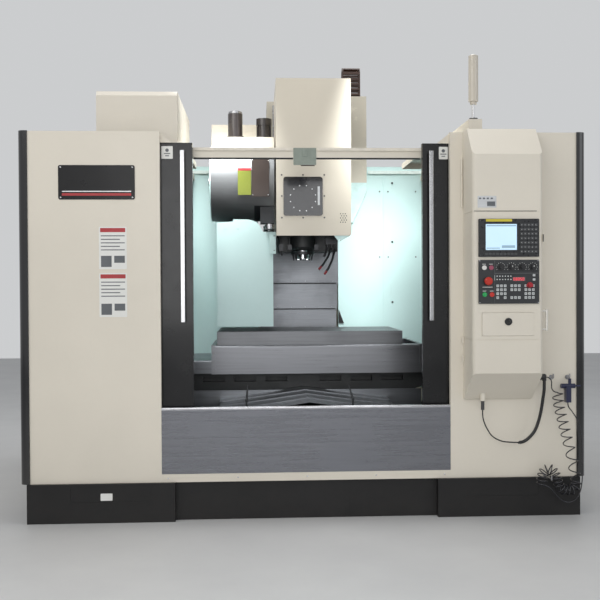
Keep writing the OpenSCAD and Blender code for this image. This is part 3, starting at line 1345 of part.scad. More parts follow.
// Console: tall box on the front of the right cover, sloped at its top and below
module console() color("#e9dfca") placed() {
    top = cover_top + 2;
    slope_y = 110;
    low = 752;
    inset = 34;
    difference() {
        intersection() {
            translate([console_x, 0, 0]) rotate([90, 0, 90]) linear_extrude(console_w)
                polygon([[-seat, low], [-seat, top], [-slope_y, top], [-console_d, console_flat_top],
                    [-console_d, console_z], [-20, low]]);
            translate([console_x, -console_d - 1, low - 1]) linear_extrude(top - low + 2) {
                translate([0, console_r]) square([console_w, console_d - console_r + 1]);
                translate([console_r, 0]) square([console_w - 2 * console_r, console_d]);
                for (x = [console_r, console_w - console_r]) translate([x, console_r]) circle(console_r);
            }
        }
        // Seams above and below the panels
        for (z = [1145, 1930]) difference() {
            span(console_x - 1, console_x1 + 1, -console_d - 1, -20, z - 2, z + 2);
            span(console_x + 3, console_x1 - 3, -console_d + 3, 0, z - 3, z + 3);
        }
        // Pocket that the drawer slides into
        span(drawer_x - 2, drawer_x + drawer_w + 2, -console_d - 1, -console_d + drawer_d + 6,
            drawer_z - 2, drawer_z + drawer_h + 2);
        // Holes behind the buttons
        for (b = buttons) rod_y([b[0], -console_d - 1, b[1]], 40, b[2] + 2);
    }
    // Grip on the right side and the small latch above it
    for (z = [1206, 1318]) rod_x([console_x1 - 2, -200, z], 40, 12);
    rod_z([console_x1 + 38, -200, 1196], 132, 16);
    span(console_x1 - 1, console_x1 + 6, -246, -226, 1745, 1790);
    // Hinge knuckles on the left
    for (z = [990, 1110]) rod_z([console_x - 6, -20, z], 44, 14);
    // Cable gland under the console
    rod_z([gland_x, -60, gland_z + 8], 60, 34);
    rod_z([gland_x, -60, 690], gland_z + 8 - 690 + eps, 22);
    // Two side glands for the conduit and the air line
    for (y = [-116, -176]) {
        rod_x([console_x1 - 2, y, 906], y < -150 ? 30 : 18, 30);
        rod_x([console_x1 - 2, y, 906], 12, 40);
    }
    // Elbow of the conduit
    rod_x([console_x1 + 10, -116, 906], 1490 - console_x1 - 10, 27);
    translate([1490, -116, 906]) sphere(d = 28);
    rod_z([1490, -116, 876], 30, 27);
}

// Display unit: bezel, screen, a row of soft keys and a keypad beside it
module display_unit() color("#1d1e20") placed() {
    z0 = display_z - display_h / 2;
    difference() {
        face_plate(panel_x, z0, bezel_y, panel_w, display_h, bezel_t - seat, 6);
        face_plate(screen_x, display_z - 80, bezel_y - 1, screen_w, screen_h, 5, 2);
    }
    face_plate(screen_x + 3, display_z - 77, bezel_y + 1.5, screen_w - 6, screen_h - 6, 3, 2);
    for (i = [0 : 8]) face_plate(screen_x + 2 + i * 22.6, z0 + 12, bezel_y - 3, 17, 12, 3 + eps, 2);
    for (row = [0 : 6], col = [0 : 4])
        face_plate(screen_x + screen_w + 16 + col * 22, z0 + 24 + row * 27, bezel_y - 3.5, 17, 17,
            3.5 + eps, 2);
    for (x = [panel_x + 10, panel_x + panel_w - 10], z = [z0 + 10, z0 + display_h - 10])
        rod_y([x, bezel_y - 1.5, z], 1.5 + eps, 7);
}

// Operator panel: plate with ridges between its fields, fixed keys, a number display and
// two small selector knobs; the moving buttons and dials are pieces of their own
column_x = panel_x + 97;
key_pitch = 23;
knob_pitch = 66;
dial_x = panel_x + 136;
dial_z = operator_z + 89;
module operator_panel() color("#232527") placed() {
    z0 = operator_z - operator_h / 2;
    y = bezel_y;
    ridge = 2;
    difference() {
        face_plate(panel_x, z0, y, panel_w, operator_h, bezel_t - seat, 5);
        for (b = buttons) rod_y([b[0], y - 1, b[1]], bezel_t + 2, b[2]);
    }
    face_plate(column_x - 1, z0 + 5, y - ridge, 3, operator_h - 10, ridge + eps, 1);
    face_plate(column_x, z0 + 184, y - ridge, panel_w - 102, 3, ridge + eps, 1);
    face_plate(panel_x + 5, z0 + 92, y - ridge, 90, 3, ridge + eps, 1);
    // Fixed keys in groups of three
    for (row = [0 : 3], col = [0 : 8])
        if (!(row == 1 && col > 2 && col < 6) && !(row == 0 && col == 1))
            face_plate(column_x + 11 + col * key_pitch + floor(col / 3) * 18, z0 + 29 + row * 24,
                y - 3.5, 16, 16,
                3.5 + eps, 2);
    // Row of indicator lamps and the number display
    for (row = [0, 1], col = [0 : 5]) rod_y([column_x + 16 + col * 17, y - 2, z0 + 148 + row * 20], 2
        + eps, 7);
    face_plate(column_x + 112, z0 + 138, y - 2.5, 78, 24, 2.5 + eps, 2);
    for (z = [140, 166]) face_plate(column_x + 236, z0 + z, y - 3.5, 16, 14, 3.5 + eps, 2);
    // Two further selectors and the red override knob, fused with the panel
    for (i = [1, 3]) {
        rod_y([dial_x + i * knob_pitch, y - 6, dial_z], 6 + eps, dial_d);
        rod_y([dial_x + i * knob_pitch, y - 26, dial_z], 21, dial_d * 0.55);
    }
    rod_y([1352, y - 4, 1480], 4 + eps, 34);
    rod_y([1352, y - 24, 1480], 21, 26);
}

// Moving controls: x, z and hole diameter of each
buttons = [[stop_x, stop_z, 30], [1072, 1422, 24], [1117, 1422, 24], [1070, 1586, 24],
    [1113, 1586, 24], [dial_x, dial_z, 14], [dial_x + 2 * knob_pitch, dial_z, 14]];
module push_button(b) {
    y = bezel_y - button_travel - 5.3;
    rod_y([b[0], y, b[1]], 5, button_d);
    rod_y([b[0], y + 4, b[1]], button_travel + 22, b[2] - 1);
}
module emergency_stop() color("#d8351f") placed() {
    b = buttons[0];
    translate([b[0], bezel_y - stop_travel - 32, b[1]]) rotate([-90, 0, 0]) rotate_extrude()
        polygon([[0, 0], [stop_d * 0.34, 0], [stop_d * 0.46, 4], [stop_d / 2, 9], [stop_d / 2, 18],
            [stop_d * 0.3, 24], [b[2] / 2 - 0.4, 28], [b[2] / 2 - 0.4, 60], [0, 60]]);
}
module start_button() color("#2f9e57") placed() push_button(buttons[1]);
module stop_button() color("#c63a34") placed() push_button(buttons[2]);
module power_on_button() color("#eceae6") placed() push_button(buttons[3]);
module power_off_button() color("#a5586a") placed() push_button(buttons[4]);
module dial(b) {
    translate([b[0], bezel_y - seat, b[1]]) rotate([90, 0, 0]) {
        cylinder(h = 6, d = dial_d);
        difference() {
            translate([0, 0, 5]) cylinder(h = 22, d = dial_d * 0.6);
            for (a = [0 : 40 : 320]) rotate([0, 0, a]) translate([dial_d * 0.33, 0, 10])
                cylinder(h = 20, d = 6);
        }
        translate([-2, 2, 26]) cube([4, dial_d * 0.26, 2.5]);
        translate([0, 0, -20]) cylinder(h = 21, d = b[2] - 1);
    }
}
module feed_dial() color("#2c2e31") placed() dial(buttons[5]);
module mode_dial() color("#2c2e31") placed() dial(buttons[6]);

// Drawer with a lipped front, a tray behind it and a faceted knob
drawer_x = console_x + 58;
drawer_z = 1171;
module drawer() color("#e4dccb") placed() {
    wall = 4;
    y0 = -console_d - 6;
    difference() {
        span(drawer_x + 2, drawer_x + drawer_w - 2, -console_d + seat, -console_d + drawer_d,
            drawer_z + 6, drawer_z + drawer_h - 14);
        span(drawer_x + 2 + wall, drawer_x + drawer_w - 2 - wall, -console_d + wall, -console_d
            + drawer_d - wall,
            drawer_z + 6 + wall, drawer_z + drawer_h);
    }
    for (x = [drawer_x - 1.5, drawer_x + drawer_w - 2 - eps]) span(x, x + 4, -console_d + seat,
        -console_d + drawer_d,
        drawer_z + 60, drawer_z + 74);
    face_plate(drawer_x - 1, drawer_z - 1, y0, drawer_w + 2, drawer_h + 2, 6 + seat, 5);
    kx = 1221;
    kz = 1256;
    rod_y([kx, y0 - 6, kz], 6 + eps, 46);
    translate([kx, y0 - 6, kz]) rotate([90, 0, 0]) cylinder(h = 12, d1 = 42, d2 = 16, $fn = 4);
}

// Signal lamp: white cylinder on a chrome stem and a round foot
module signal_lamp() color("#f1ece2") placed() {
    x = 1122;
    y = 200;
    base = 2572 + seat;
    rod_z([x, y, base], 12, 56);
    rod_z([x, y, base + 11], 92, 20);
    rod_z([x, y, base + 102], 20, 44);
    rod_z([x, y, base + 121], 300, 64);
    translate([x, y, base + 420]) cylinder(h = 8, d1 = 62, d2 = 40);
}

// Electrical cabinet on the rear: two doors with hinges, a main switch and a vent
module electrical_cabinet() color("#d9d3c4") placed() {
    x1 = half_w - 20;
    x0 = x1 - cabinet_w;
    y0 = cabinet_y;
    y1 = y0 + cabinet_d;
    mid = (x0 + x1) / 2;
    difference() {
        span(x0, x1, y0, y1, cabinet_z, cabinet_z + cabinet_h);
        // Seams of the two rear doors
        for (x = [x0 + 24, mid, x1 - 24]) span(x - 2, x + 2, y1 - 6, y1 + eps, cabinet_z + 24,
            cabinet_z + cabinet_h - 24);
        for (z = [cabinet_z + 24, cabinet_z + cabinet_h - 24]) span(x0 + 22, x1 - 22, y1 - 6, y1 + eps,
            z - 2, z + 2);
        for (x = [x0 + cabinet_w / 4, x1 - cabinet_w / 4], i = [0 : 9])
            span(x - 110, x + 110, y1 - 12, y1 + eps, cabinet_z + 180 + i * 22, cabinet_z + 190 + i * 22);
    }
    for (x = [x0 + 14, x1 - 14], z = [0.15, 0.5, 0.85]) rod_z([x, y1 + 4, cabinet_z + cabinet_h * z],
        70, 14);
    rod_y([mid - 60, y1 - eps, cabinet_z + cabinet_h * 0.62], 10, 70);
    span(mid - 66, mid - 54, y1 + 9, y1 + cabinet_handle, cabinet_z + cabinet_h * 0.62 - 34,
        cabinet_z + cabinet_h * 0.62 + 34);
    span(mid + 44, mid + 60, y1 - eps, y1 + 18, cabinet_z + cabinet_h * 0.5, cabinet_z
        + cabinet_h * 0.5 + 120);
    // Brackets that hold it on the side cover
    for (z = [0.1, 0.9]) span(x1 - 50, x1 - 6, side_l + seat, y0 + eps, cabinet_z + cabinet_h * z,
        cabinet_z + cabinet_h * z + 60);
    for (x = [x0 + 60, x1 - 60], y = [y0 + 60, y1 - 60]) {
        rod_z([x, y, 0], 14, 90);
        rod_z([x, y, 12], cabinet_z - 12 + eps, 30);
    }
}

// Coolant tank on the rear left, with a lid, a pump and castors
module coolant_tank() color("#7c8487") placed() {
    x0 = -half_w + 140;
    x1 = axis_x - bed_w / 2 - 30;
    y0 = side_l - 340;
    y1 = side_l + 350;
    z0 = 62;
    difference() {
        span(x0, x1, y0, y1, z0, z0 + tank_h);
        span(x0 + 6, x1 - 6, y0 + 6, y1 - 6, z0 + 6, z0 + tank_h + eps);
    }
    difference() {
        span(x0 - 8, x1 + 8, y0 - 8, y1 + 8, z0 + tank_h + seat, z0 + tank_h + 6);
        span(x0 + 120, x0 + 520, y0 + 60, y0 + 300, z0 + tank_h - 1, z0 + tank_h + 10);
    }
    rod_z([x1 - 160, y1 - 170, z0 + 40], tank_h - 40, 90);
    rod_z([x1 - 160, y1 - 170, z0 + tank_h + 6 - eps], 24, 190);
    rod_z([x1 - 160, y1 - 170, z0 + tank_h + 29], 210, 140);
    rod_z([x1 - 160, y1 - 170, z0 + tank_h + 238], 40, 156);
    for (x = [x0 + 80, x1 - 80], y = [y0 + 80, y1 - 80]) {
        rod_x([x - 16, y, 26], 32, 52);
        rod_x([x - 26, y, 26], 52, 14);
        span(x - 26, x - 17, y - 22, y + 22, 20, z0 + seat);
        span(x + 17, x + 26, y - 22, y + 22, 20, z0 + seat);
    }
}

// Swept tube along a list of points, with the same number of sides at every ring
function unit(v) = v / norm(v);
function direction(p, i) = i == 0 ? unit(p[1] - p[0])
    : i == len(p) - 1 ? unit(p[i] - p[i - 1]) : unit(unit(p[i] - p[i - 1]) + unit(p[i + 1] - p[i]));
module tube(route, d, sides) {
    n = len(route);
    rings = [for (i = [0 : n - 1])
        let (t = direction(route, i), a = unit(cross(t, [0, 1, 0])), b = cross(a, t))
        for (k = [0 : sides - 1])
            route[i] + d / 2 * (cos(360 * k / sides) * a + sin(360 * k / sides) * b)];
    side_faces = [for (i = [0 : n - 2], k = [0 : sides - 1])
        let (j = (k + 1) % sides) [i * sides + k, i * sides + j, (i + 1) * sides + j, (i + 1) * sides + k]];
    first = [[for (k = [sides - 1 : -1 : 0]) k]];
    last = [[for (k = [0 : sides - 1]) (n - 1) * sides + k]];
    polyhedron(points = rings, faces = concat(side_faces, first, last), convexity = 6);
}

// Cable loop under the console: a thin lead that runs on in a ribbed conduit
module loop_cable() color("#26272a") placed() {
    tube(thin_route, thin_d, 8);
    tube(thick_route, thick_d, 10);
}

// Curly air hose, as one tube of the coil's outer diameter, and its straight tail to the gun
module air_hose() color("#1c1e28") placed() {
    tube(lead_route, 9, 8);
    tube(hose_route, coil_d, 12);
    tube(tail_route, 9, 8);
}

// The hose's slack turns, bunched over a peg
module hose_bunch() color("#1c1e28") placed() tube(bunch_route, coil_d, 12);

// Air gun on its hook
module air_gun() color("#23263a") placed() translate([1666, -46, 790]) {
    translate([-16, -20, -60]) cube([32, 40, 104]);
    translate([0, 0, 44]) rotate([0, 90, 0]) cylinder(h = 90, d = 30, center = true);
    translate([44, 0, 44]) rotate([0, 90, 0]) cylinder(h = 40, d = 10);
    translate([4, -6, 50]) cube([16, 12, 91.2 - 50]);
}

bed();
levelling_feet();
base_skirt();
chip_pan();
column();
axis_guides();
left_cover();
right_cover();
corner_trims();
front_apron();
front_frame();
door_tracks();
rear_guards();
magazine_casing();
tool_disc();
tool_arm();
atc_housing();
atc_motors();
magazine_guard();
z_cover_lower();
z_cover_middle();
z_cover_upper();
y_cover_front();
y_cover_second();
y_cover_third();
slide_covers();
cross_slide();
x_guides();
table();
table_guard();
x_cover_left();
x_cover_right();
head_casting();
head_cover();
head_window();
spindle();
coolant_nozzles();
cable_chain();
left_door();
left_door_glass();
right_door();
right_door_glass();
console();
display_unit();
operator_panel();
emergency_stop();
start_button();
stop_button();
power_on_button();
power_off_button();
feed_dial();
mode_dial();
drawer();
signal_lamp();
electrical_cabinet();
coolant_tank();
loop_cable();
air_hose();
hose_bunch();
air_gun();
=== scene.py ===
import math

import bpy
import bmesh
from mathutils import Matrix, Vector


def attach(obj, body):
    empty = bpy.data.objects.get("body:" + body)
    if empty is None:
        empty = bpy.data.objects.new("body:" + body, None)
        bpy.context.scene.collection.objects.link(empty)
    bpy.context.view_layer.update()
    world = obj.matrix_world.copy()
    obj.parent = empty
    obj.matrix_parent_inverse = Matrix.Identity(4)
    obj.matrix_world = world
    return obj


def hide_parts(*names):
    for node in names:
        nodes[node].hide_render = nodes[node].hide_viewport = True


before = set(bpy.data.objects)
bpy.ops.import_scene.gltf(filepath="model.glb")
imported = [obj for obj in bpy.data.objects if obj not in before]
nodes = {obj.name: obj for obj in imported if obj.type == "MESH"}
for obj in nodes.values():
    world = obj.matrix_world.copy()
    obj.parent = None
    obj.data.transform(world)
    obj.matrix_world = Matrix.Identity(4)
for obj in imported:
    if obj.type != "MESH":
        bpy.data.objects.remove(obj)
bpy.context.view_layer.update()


# How far the covers' front stands in front of the row frame's origin, in mm
FRONT = 1238.0
# A distance far outside the part, in mm, for the side of a box that is left open
FAR = 9999


def at(x, y, z):
    """A point given as the part's source gives it, in mm from the covers' front, in the row frame."""
    return Vector((x / 1000.0, (y - FRONT) / 1000.0, z / 1000.0))


def srgb(r, g, b):
    return tuple((c / 255 / 12.92) if c <= 10 else ((c / 255 + 0.055) / 1.055) ** 2.4 for c in (r, g, b))


# Camera at the photograph's angle: where it stands in mm, how it is turned, and its focal length
# and the picture's width in pixels
CAMERA_AT = (-309, -5506, 1470)
YAW, PITCH, ROLL = 2.78, 0.81, -0.30
FOCAL_PX = 870.0
PHOTO_PX = 600.0
SENSOR_MM = 36.0


def make_camera():
    yaw, pitch, roll = math.radians(YAW), math.radians(PITCH), math.radians(ROLL)
    fwd = Vector((math.sin(yaw) * math.cos(pitch), math.cos(yaw) * math.cos(pitch), -math.sin(pitch)))
    side = Vector((math.cos(yaw), -math.sin(yaw), 0.0))
    up = side.cross(fwd)
    right = side * math.cos(roll) + up * math.sin(roll)
    up = up * math.cos(roll) - side * math.sin(roll)
    data = bpy.data.cameras.new("camera")
    data.sensor_width = SENSOR_MM
    data.lens = FOCAL_PX / PHOTO_PX * SENSOR_MM
    data.clip_start, data.clip_end = 0.1, 100.0
    cam = bpy.data.objects.new("camera", data)
    bpy.context.collection.objects.link(cam)
    m = Matrix((right, up, -fwd)).transposed().to_4x4()
    m.translation = at(*CAMERA_AT)
    cam.matrix_world = m
    bpy.context.scene.camera = cam


make_camera()


# Materials: each one has colour variation, wear and its own roughness and relief

class Mat:
    def __init__(self, name):
        self.m = bpy.data.materials.new(name)
        self.m.use_nodes = True
        self.nt = self.m.node_tree
        self.nt.nodes.clear()
        self.out = self.add("ShaderNodeOutputMaterial")
        self.bsdf = self.add("ShaderNodeBsdfPrincipled")
        self.link(self.bsdf, "BSDF", self.out, "Surface")
        self.coord = self.add("ShaderNodeTexCoord")

    def add(self, kind, **values):
        n = self.nt.nodes.new(kind)
        for k, v in values.items():
            setattr(n, k, v)
        return n

    def link(self, a, out, b, inp):
        self.nt.links.new(a.outputs[out], b.inputs[inp])

    def mapped(self, scale=(1, 1, 1), rot=(0, 0, 0)):
        n = self.add("ShaderNodeMapping")
        n.inputs["Scale"].default_value = scale
        n.inputs["Rotation"].default_value = rot
        self.link(self.coord, "Object", n, "Vector")
        return n

    def noise(self, scale, detail=4.0, rough=0.55, stretch=(1, 1, 1), rot=(0, 0, 0)):
        n = self.add("ShaderNodeTexNoise")
        n.inputs["Scale"].default_value = scale
        n.inputs["Detail"].default_value = detail
        n.inputs["Roughness"].default_value = rough
        self.link(self.mapped(stretch, rot), "Vector", n, "Vector")
        return n

    def ramp(self, source, out, stops):
        n = self.add("ShaderNodeValToRGB")
        e = n.color_ramp.elements
        while len(e) < len(stops):
            e.new(0.5)
        for i, (pos, col) in enumerate(stops):
            e[i].position = pos
            e[i].color = (*col, 1.0) if len(col) == 3 else col
        self.link(source, out, n, "Fac")
        return n

    def math(self, op, a, b=0.5, c=None):
        n = self.add("ShaderNodeMath", operation=op)
        for i, v in enumerate((a, b, c)):
            if v is None:
                continue
            if isinstance(v, (int, float)):
                n.inputs[i].default_value = v
            else:
                self.nt.links.new(v, n.inputs[i])
        return n.outputs[0]

    def range(self, value, lo, hi, to_lo=0.0, to_hi=1.0):
        n = self.add("ShaderNodeMapRange")
        self.nt.links.new(value, n.inputs["Value"])
        for k, v in (("From Min", lo), ("From Max", hi), ("To Min", to_lo), ("To Max", to_hi)):
            n.inputs[k].default_value = v
        return n.outputs["Result"]

    def mix(self, fac, a, b, blend="MIX"):
        n = self.add("ShaderNodeMix", data_type="RGBA", blend_type=blend)
        n.clamp_result = True
        for i, v in ((0, fac), (6, a), (7, b)):
            if isinstance(v, (int, float)):
                n.inputs[i].default_value = v
            elif isinstance(v, tuple):
                n.inputs[i].default_value = (*v, 1.0)
            else:
                self.nt.links.new(v, n.inputs[i])
        return n.outputs[2]

    def axis(self, k):
        n = self.add("ShaderNodeSeparateXYZ")
        self.link(self.coord, "Object", n, "Vector")
        return n.outputs["XYZ".index(k)]

    def box(self, x0=-FAR, x1=FAR, y0=-FAR, y1=FAR, z0=-FAR, z1=FAR):
        """1 inside a box given in the part's own mm, 0 outside."""
        a, b = at(x0, y0, z0), at(x1, y1, z1)
        total = None
        for i, given in enumerate(((x0, x1), (y0, y1), (z0, z1))):
            if given == (-FAR, FAR):
                continue
            v = self.axis("XYZ"[i])
            above = self.math("GREATER_THAN", v, a[i])
            inside = self.math("MULTIPLY", above, self.math("LESS_THAN", v, b[i]))
            total = inside if total is None else self.math("MULTIPLY", total, inside)
        return total

    def put(self, name, value):
        s = self.bsdf.inputs[name]
        if isinstance(value, (int, float)):
            s.default_value = value
        elif isinstance(value, tuple):
            s.default_value = (*value, 1.0) if len(value) == 3 else value
        else:
            self.nt.links.new(value, s)

    def over(self, mask, col, rough=None, metal=None, vary=0.08):
        """Another colour where the mask is 1, with its own mottling, gloss and metal."""
        def now(name):
            sock = self.bsdf.inputs[name]
            return sock.links[0].from_socket if sock.links else sock.default_value
        n = self.noise(24.0, 4.0, 0.6)
        f = self.range(n.outputs["Fac"], 0.3, 0.7, 0.0, 1.0)
        patch = self.mix(f, tuple(c * (1 - vary) for c in col), tuple(min(1.0, c * (1 + vary)) for c in col))
        base = now("Base Color")
        if not hasattr(base, "links"):
            base = tuple(base)[:3]
        self.put("Base Color", self.mix(mask, base, patch))
        for name, value in (("Roughness", rough), ("Metallic", metal)):
            if value is None:
                continue
            old = now(name)
            inv = self.math("SUBTRACT", 1.0, mask)
            kept = self.math("MULTIPLY", old, inv)
            self.put(name, self.math("ADD", kept, self.math("MULTIPLY", mask, value)))

    def bump(self, height, strength, distance):
        n = self.add("ShaderNodeBump")
        n.inputs["Strength"].default_value = strength
        n.inputs["Distance"].default_value = distance
        self.nt.links.new(height, n.inputs["Height"])
        self.link(n, "Normal", self.bsdf, "Normal")


def dirt(m, low=0.0, high=0.5, amount=0.35):
    """More dust and scuffs near the floor: a mask from the height and a noise."""
    z = m.range(m.axis("Z"), low, high, 1.0, 0.0)
    n = m.noise(5.0, 6.0, 0.7)
    return m.math("MULTIPLY", m.math("MULTIPLY", z, n.outputs["Fac"]), amount)


def shades(m, col, vary=0.06, scale=1.6, dust=0.3, dust_col=(0.33, 0.30, 0.26), dust_to=0.5):
    """Colour that drifts slowly over a surface, with fine mottling and dust near the floor."""
    big = m.noise(scale, 3.0, 0.5)
    lo = tuple(c * (1 - vary) for c in col)
    hi = tuple(min(1.0, c * (1 + vary * 0.6)) for c in col)
    base = m.ramp(big, "Fac", [(0.3, lo), (0.7, hi)])
    fine = m.noise(38.0, 5.0, 0.6)
    mott = m.range(fine.outputs["Fac"], 0.35, 0.75, 0.0, vary * 1.6)
    c = m.mix(mott, base.outputs["Color"], tuple(x * 0.8 for x in col))
    if dust:
        c = m.mix(dirt(m, 0.0, dust_to, dust), c, dust_col)
    return c


def scuffs(m, amount=0.5):
    """Thin scratches as a mask: a stretched noise cut high."""
    a = m.noise(30.0, 6.0, 0.7, (1.0, 1.0, 0.08), (0.3, 0.5, 0.2))
    return m.range(a.outputs["Fac"], 0.66, 0.74, 0.0, amount)


def paint(name, col, rough=0.38, vary=0.05, peel=0.12, dust=0.3, coat=0.0, wear=0.25, spec=0.5):
    m = Mat(name)
    c = shades(m, col, vary, dust=dust)
    s = scuffs(m, wear)
    c = m.mix(s, c, tuple(x * 0.62 for x in col))
    m.put("Base Color", c)
    r = m.noise(9.0, 4.0, 0.6)
    m.put("Roughness", m.range(r.outputs["Fac"], 0.25, 0.75, rough * 0.82, min(1.0, rough * 1.25)))
    m.put("Specular IOR Level", spec)
    if coat:
        m.put("Coat Weight", coat)
        m.put("Coat Roughness", 0.08)
    p = m.noise(420.0, 2.0, 0.5)
    m.bump(p.outputs["Fac"], peel, 0.0012)
    return m


def steel(name, col, rough=0.32, along=(1.0, 30.0, 30.0), grain=60.0, vary=0.14, stain=0.2, metal=0.9,
          bump=0.1, stain_col=(0.10, 0.10, 0.11)):
    """Brushed or ground metal: a noise stretched along the grain drives its shade, gloss and relief."""
    m = Mat(name)
    g = m.noise(grain, 5.0, 0.7, tuple(a / 30.0 for a in along))
    big = m.noise(2.2, 4.0, 0.6)
    lo = tuple(c * (1 - vary) for c in col)
    hi = tuple(min(1.0, c * (1 + vary)) for c in col)
    c = m.ramp(g, "Fac", [(0.3, lo), (0.7, hi)]).outputs["Color"]
    st = m.range(big.outputs["Fac"], 0.48, 0.72, 0.0, stain)
    c = m.mix(st, c, stain_col)
    m.put("Base Color", c)
    m.put("Metallic", metal)
    rr = m.range(g.outputs["Fac"], 0.25, 0.75, rough * 0.78, rough * 1.25)
    m.put("Roughness", m.math("ADD", rr, m.math("MULTIPLY", st, 0.25)))
    m.bump(g.outputs["Fac"], bump, 0.0006)
    return m


def cast(name, col, rough=0.62, vary=0.16, dust=0.2, metal=0.0):
    """Painted or raw casting: coarse skin and worn, slightly lighter spots."""
    m = Mat(name)
    c = shades(m, col, vary, 2.4, dust)
    worn = m.noise(7.0, 8.0, 0.7)
    w = m.range(worn.outputs["Fac"], 0.60, 0.70, 0.0, 0.35)
    c = m.mix(w, c, tuple(min(1.0, x * 1.5 + 0.02) for x in col))
    m.put("Base Color", c)
    m.put("Metallic", metal)
    m.put("Roughness", m.range(worn.outputs["Fac"], 0.3, 0.7, rough * 0.85, min(1.0, rough * 1.15)))
    skin = m.noise(130.0, 4.0, 0.6)
    m.bump(skin.outputs["Fac"], 0.35, 0.002)
    return m


def plastic(name, col, rough=0.35, vary=0.08, grain=600.0, peel=0.08, coat=0.0, glow=0.0):
    m = Mat(name)
    c = shades(m, col, vary, 6.0, 0.0)
    m.put("Base Color", c)
    r = m.noise(40.0, 3.0, 0.5)
    m.put("Roughness", m.range(r.outputs["Fac"], 0.3, 0.7, rough * 0.8, min(1.0, rough * 1.2)))
    if coat:
        m.put("Coat Weight", coat)
        m.put("Coat Roughness", 0.05)
    if glow:
        m.put("Emission Color", col)
        m.put("Emission Strength", glow)
    g = m.noise(grain, 2.0, 0.5)
    m.bump(g.outputs["Fac"], peel, 0.0006)
    return m


CREAM = srgb(226, 219, 205)
MINT = srgb(204, 232, 230)
STEEL = (0.34, 0.34, 0.35)
BLACK = (0.012, 0.012, 0.013)
GLOSS = (0.008, 0.008, 0.009)
GRAPHITE = (0.022, 0.024, 0.027)
DIAL = (0.014, 0.014, 0.016)
# Which way a metal's grain runs: the axis that isn't squeezed
ALONG_X, ALONG_Y, ALONG_Z, EVEN = (1, 30, 30), (30, 1, 30), (30, 30, 1), (1, 1, 1)

cream = paint("cream_paint", CREAM, 0.42, 0.04, 0.12, 0.22, wear=0.10)
black_low = paint("plinth_paint", (0.009, 0.009, 0.010), 0.42, 0.25, 0.2, 0.06, wear=0.5, spec=0.3)
gloss_black = paint("gloss_black_paint", GLOSS, 0.16, 0.2, 0.03, 0.12, coat=0.6, wear=0.3)
mint = paint("mint_paint", MINT, 0.36, 0.05, 0.10, 0.0, wear=0.18)
dark = paint("dark_paint", GRAPHITE, 0.5, 0.3, 0.2, 0.2, wear=0.5)
bed = cast("bed_casting", (0.045, 0.055, 0.052))
slide = cast("slide_casting", (0.018, 0.020, 0.021), 0.5, 0.3)
table_top = steel("table_iron", (0.17, 0.175, 0.185), 0.36, ALONG_X, 46.0, 0.16, 0.3, 0.85, 0.12)
apron = steel("apron_steel", (0.22, 0.225, 0.24), 0.32, ALONG_X, 60.0, 0.10, 0.22, 0.92, 0.08,
              (0.25, 0.25, 0.27))
cover = steel("cover_steel", (0.20, 0.21, 0.225), 0.32, ALONG_X, 60.0, 0.14, 0.3, 0.9, 0.08)
guide = steel("guide_steel", (0.36, 0.36, 0.37), 0.26, ALONG_Y, 50.0, 0.14, 0.25, 0.95, 0.06)
bright = steel("bright_steel", (0.62, 0.63, 0.65), 0.13, ALONG_Z, 60.0, 0.08, 0.12, 1.0, 0.03)
foot = steel("foot_steel", (0.32, 0.32, 0.32), 0.4, EVEN, 40.0, 0.2, 0.35, 0.9, 0.2)
red_mat = plastic("stop_red", (0.55, 0.03, 0.015), 0.25, 0.1)
green_mat = plastic("button_green", (0.02, 0.30, 0.08), 0.28, 0.1, glow=0.15)
red_button = plastic("button_red", (0.50, 0.03, 0.02), 0.28, 0.1, glow=0.1)
white_mat = plastic("button_white", (0.74, 0.73, 0.70), 0.3, 0.05)
pink_mat = plastic("button_pink", (0.33, 0.07, 0.12), 0.3, 0.1)
knob_mat = plastic("dial_black", DIAL, 0.35, 0.2)
chain_mat = plastic("chain_brown", (0.055, 0.026, 0.018), 0.5, 0.2, 300.0, 0.2)
rubber = plastic("cable_sheath", (0.014, 0.014, 0.015), 0.5, 0.25, 500.0, 0.15)
hose_mat = plastic("hose_polyurethane", (0.012, 0.012, 0.018), 0.24, 0.2, 300.0, 0.05, coat=0.3)
gun_mat = plastic("gun_blue", (0.018, 0.022, 0.06), 0.35, 0.15)


def glass_material():
    m = Mat("door_glass")
    c = shades(m, (0.82, 0.92, 0.92), 0.03, 3.0, 0.0)
    m.put("Base Color", c)
    m.put("Roughness", 0.03)
    m.put("Transmission Weight", 1.0)
    m.put("IOR", 1.45)
    n = m.noise(3.0, 2.0, 0.5)
    m.bump(n.outputs["Fac"], 0.02, 0.001)
    return m


glass = glass_material()

# Materials with another colour inside a box: what is bolted to a node, or printed or let into it, and in a
# few places painted shade or a painted highlight
door_paint = paint("door_black_paint", GLOSS, 0.24, 0.2, 0.03, 0.02, coat=0.15,
                   wear=0.3, spec=0.3)
door_paint.over(door_paint.box(y1=57.6), (0.42, 0.42, 0.43), 0.16, 1.0)
trough = cast("column_paint", srgb(205, 199, 184), 0.55, 0.06)
trough.over(trough.box(352, 600, 1630, 1762, 1990, 2332), MINT, 0.4)
tracks = paint("track_paint", GRAPHITE, 0.5, 0.3, 0.2, 0.2, wear=0.5)
tracks.over(tracks.box(z0=2300), CREAM, 0.42)
strip = paint("frame_paint", CREAM, 0.42, 0.04, 0.12, 0.22, wear=0.10)
strip.over(strip.box(-76, 75, 96, 112.9, 2255, 2375), srgb(132, 142, 132), 0.4)
strip.over(strip.box(-30, 76, 152, 300, 2255, 2316), (0.10, 0.075, 0.06), 0.5)
casing = steel("magazine_satin", (0.17, 0.175, 0.18), 0.46, ALONG_X, 50.0, 0.10, 0.15, 0.45, 0.06)
casing.over(casing.box(-349, -220, 790, 803.5, 2100, 2420), (0.030, 0.017, 0.012), 0.4, 0.0)
casing.over(casing.box(x1=-645.6), MINT, 0.35, 0.0)
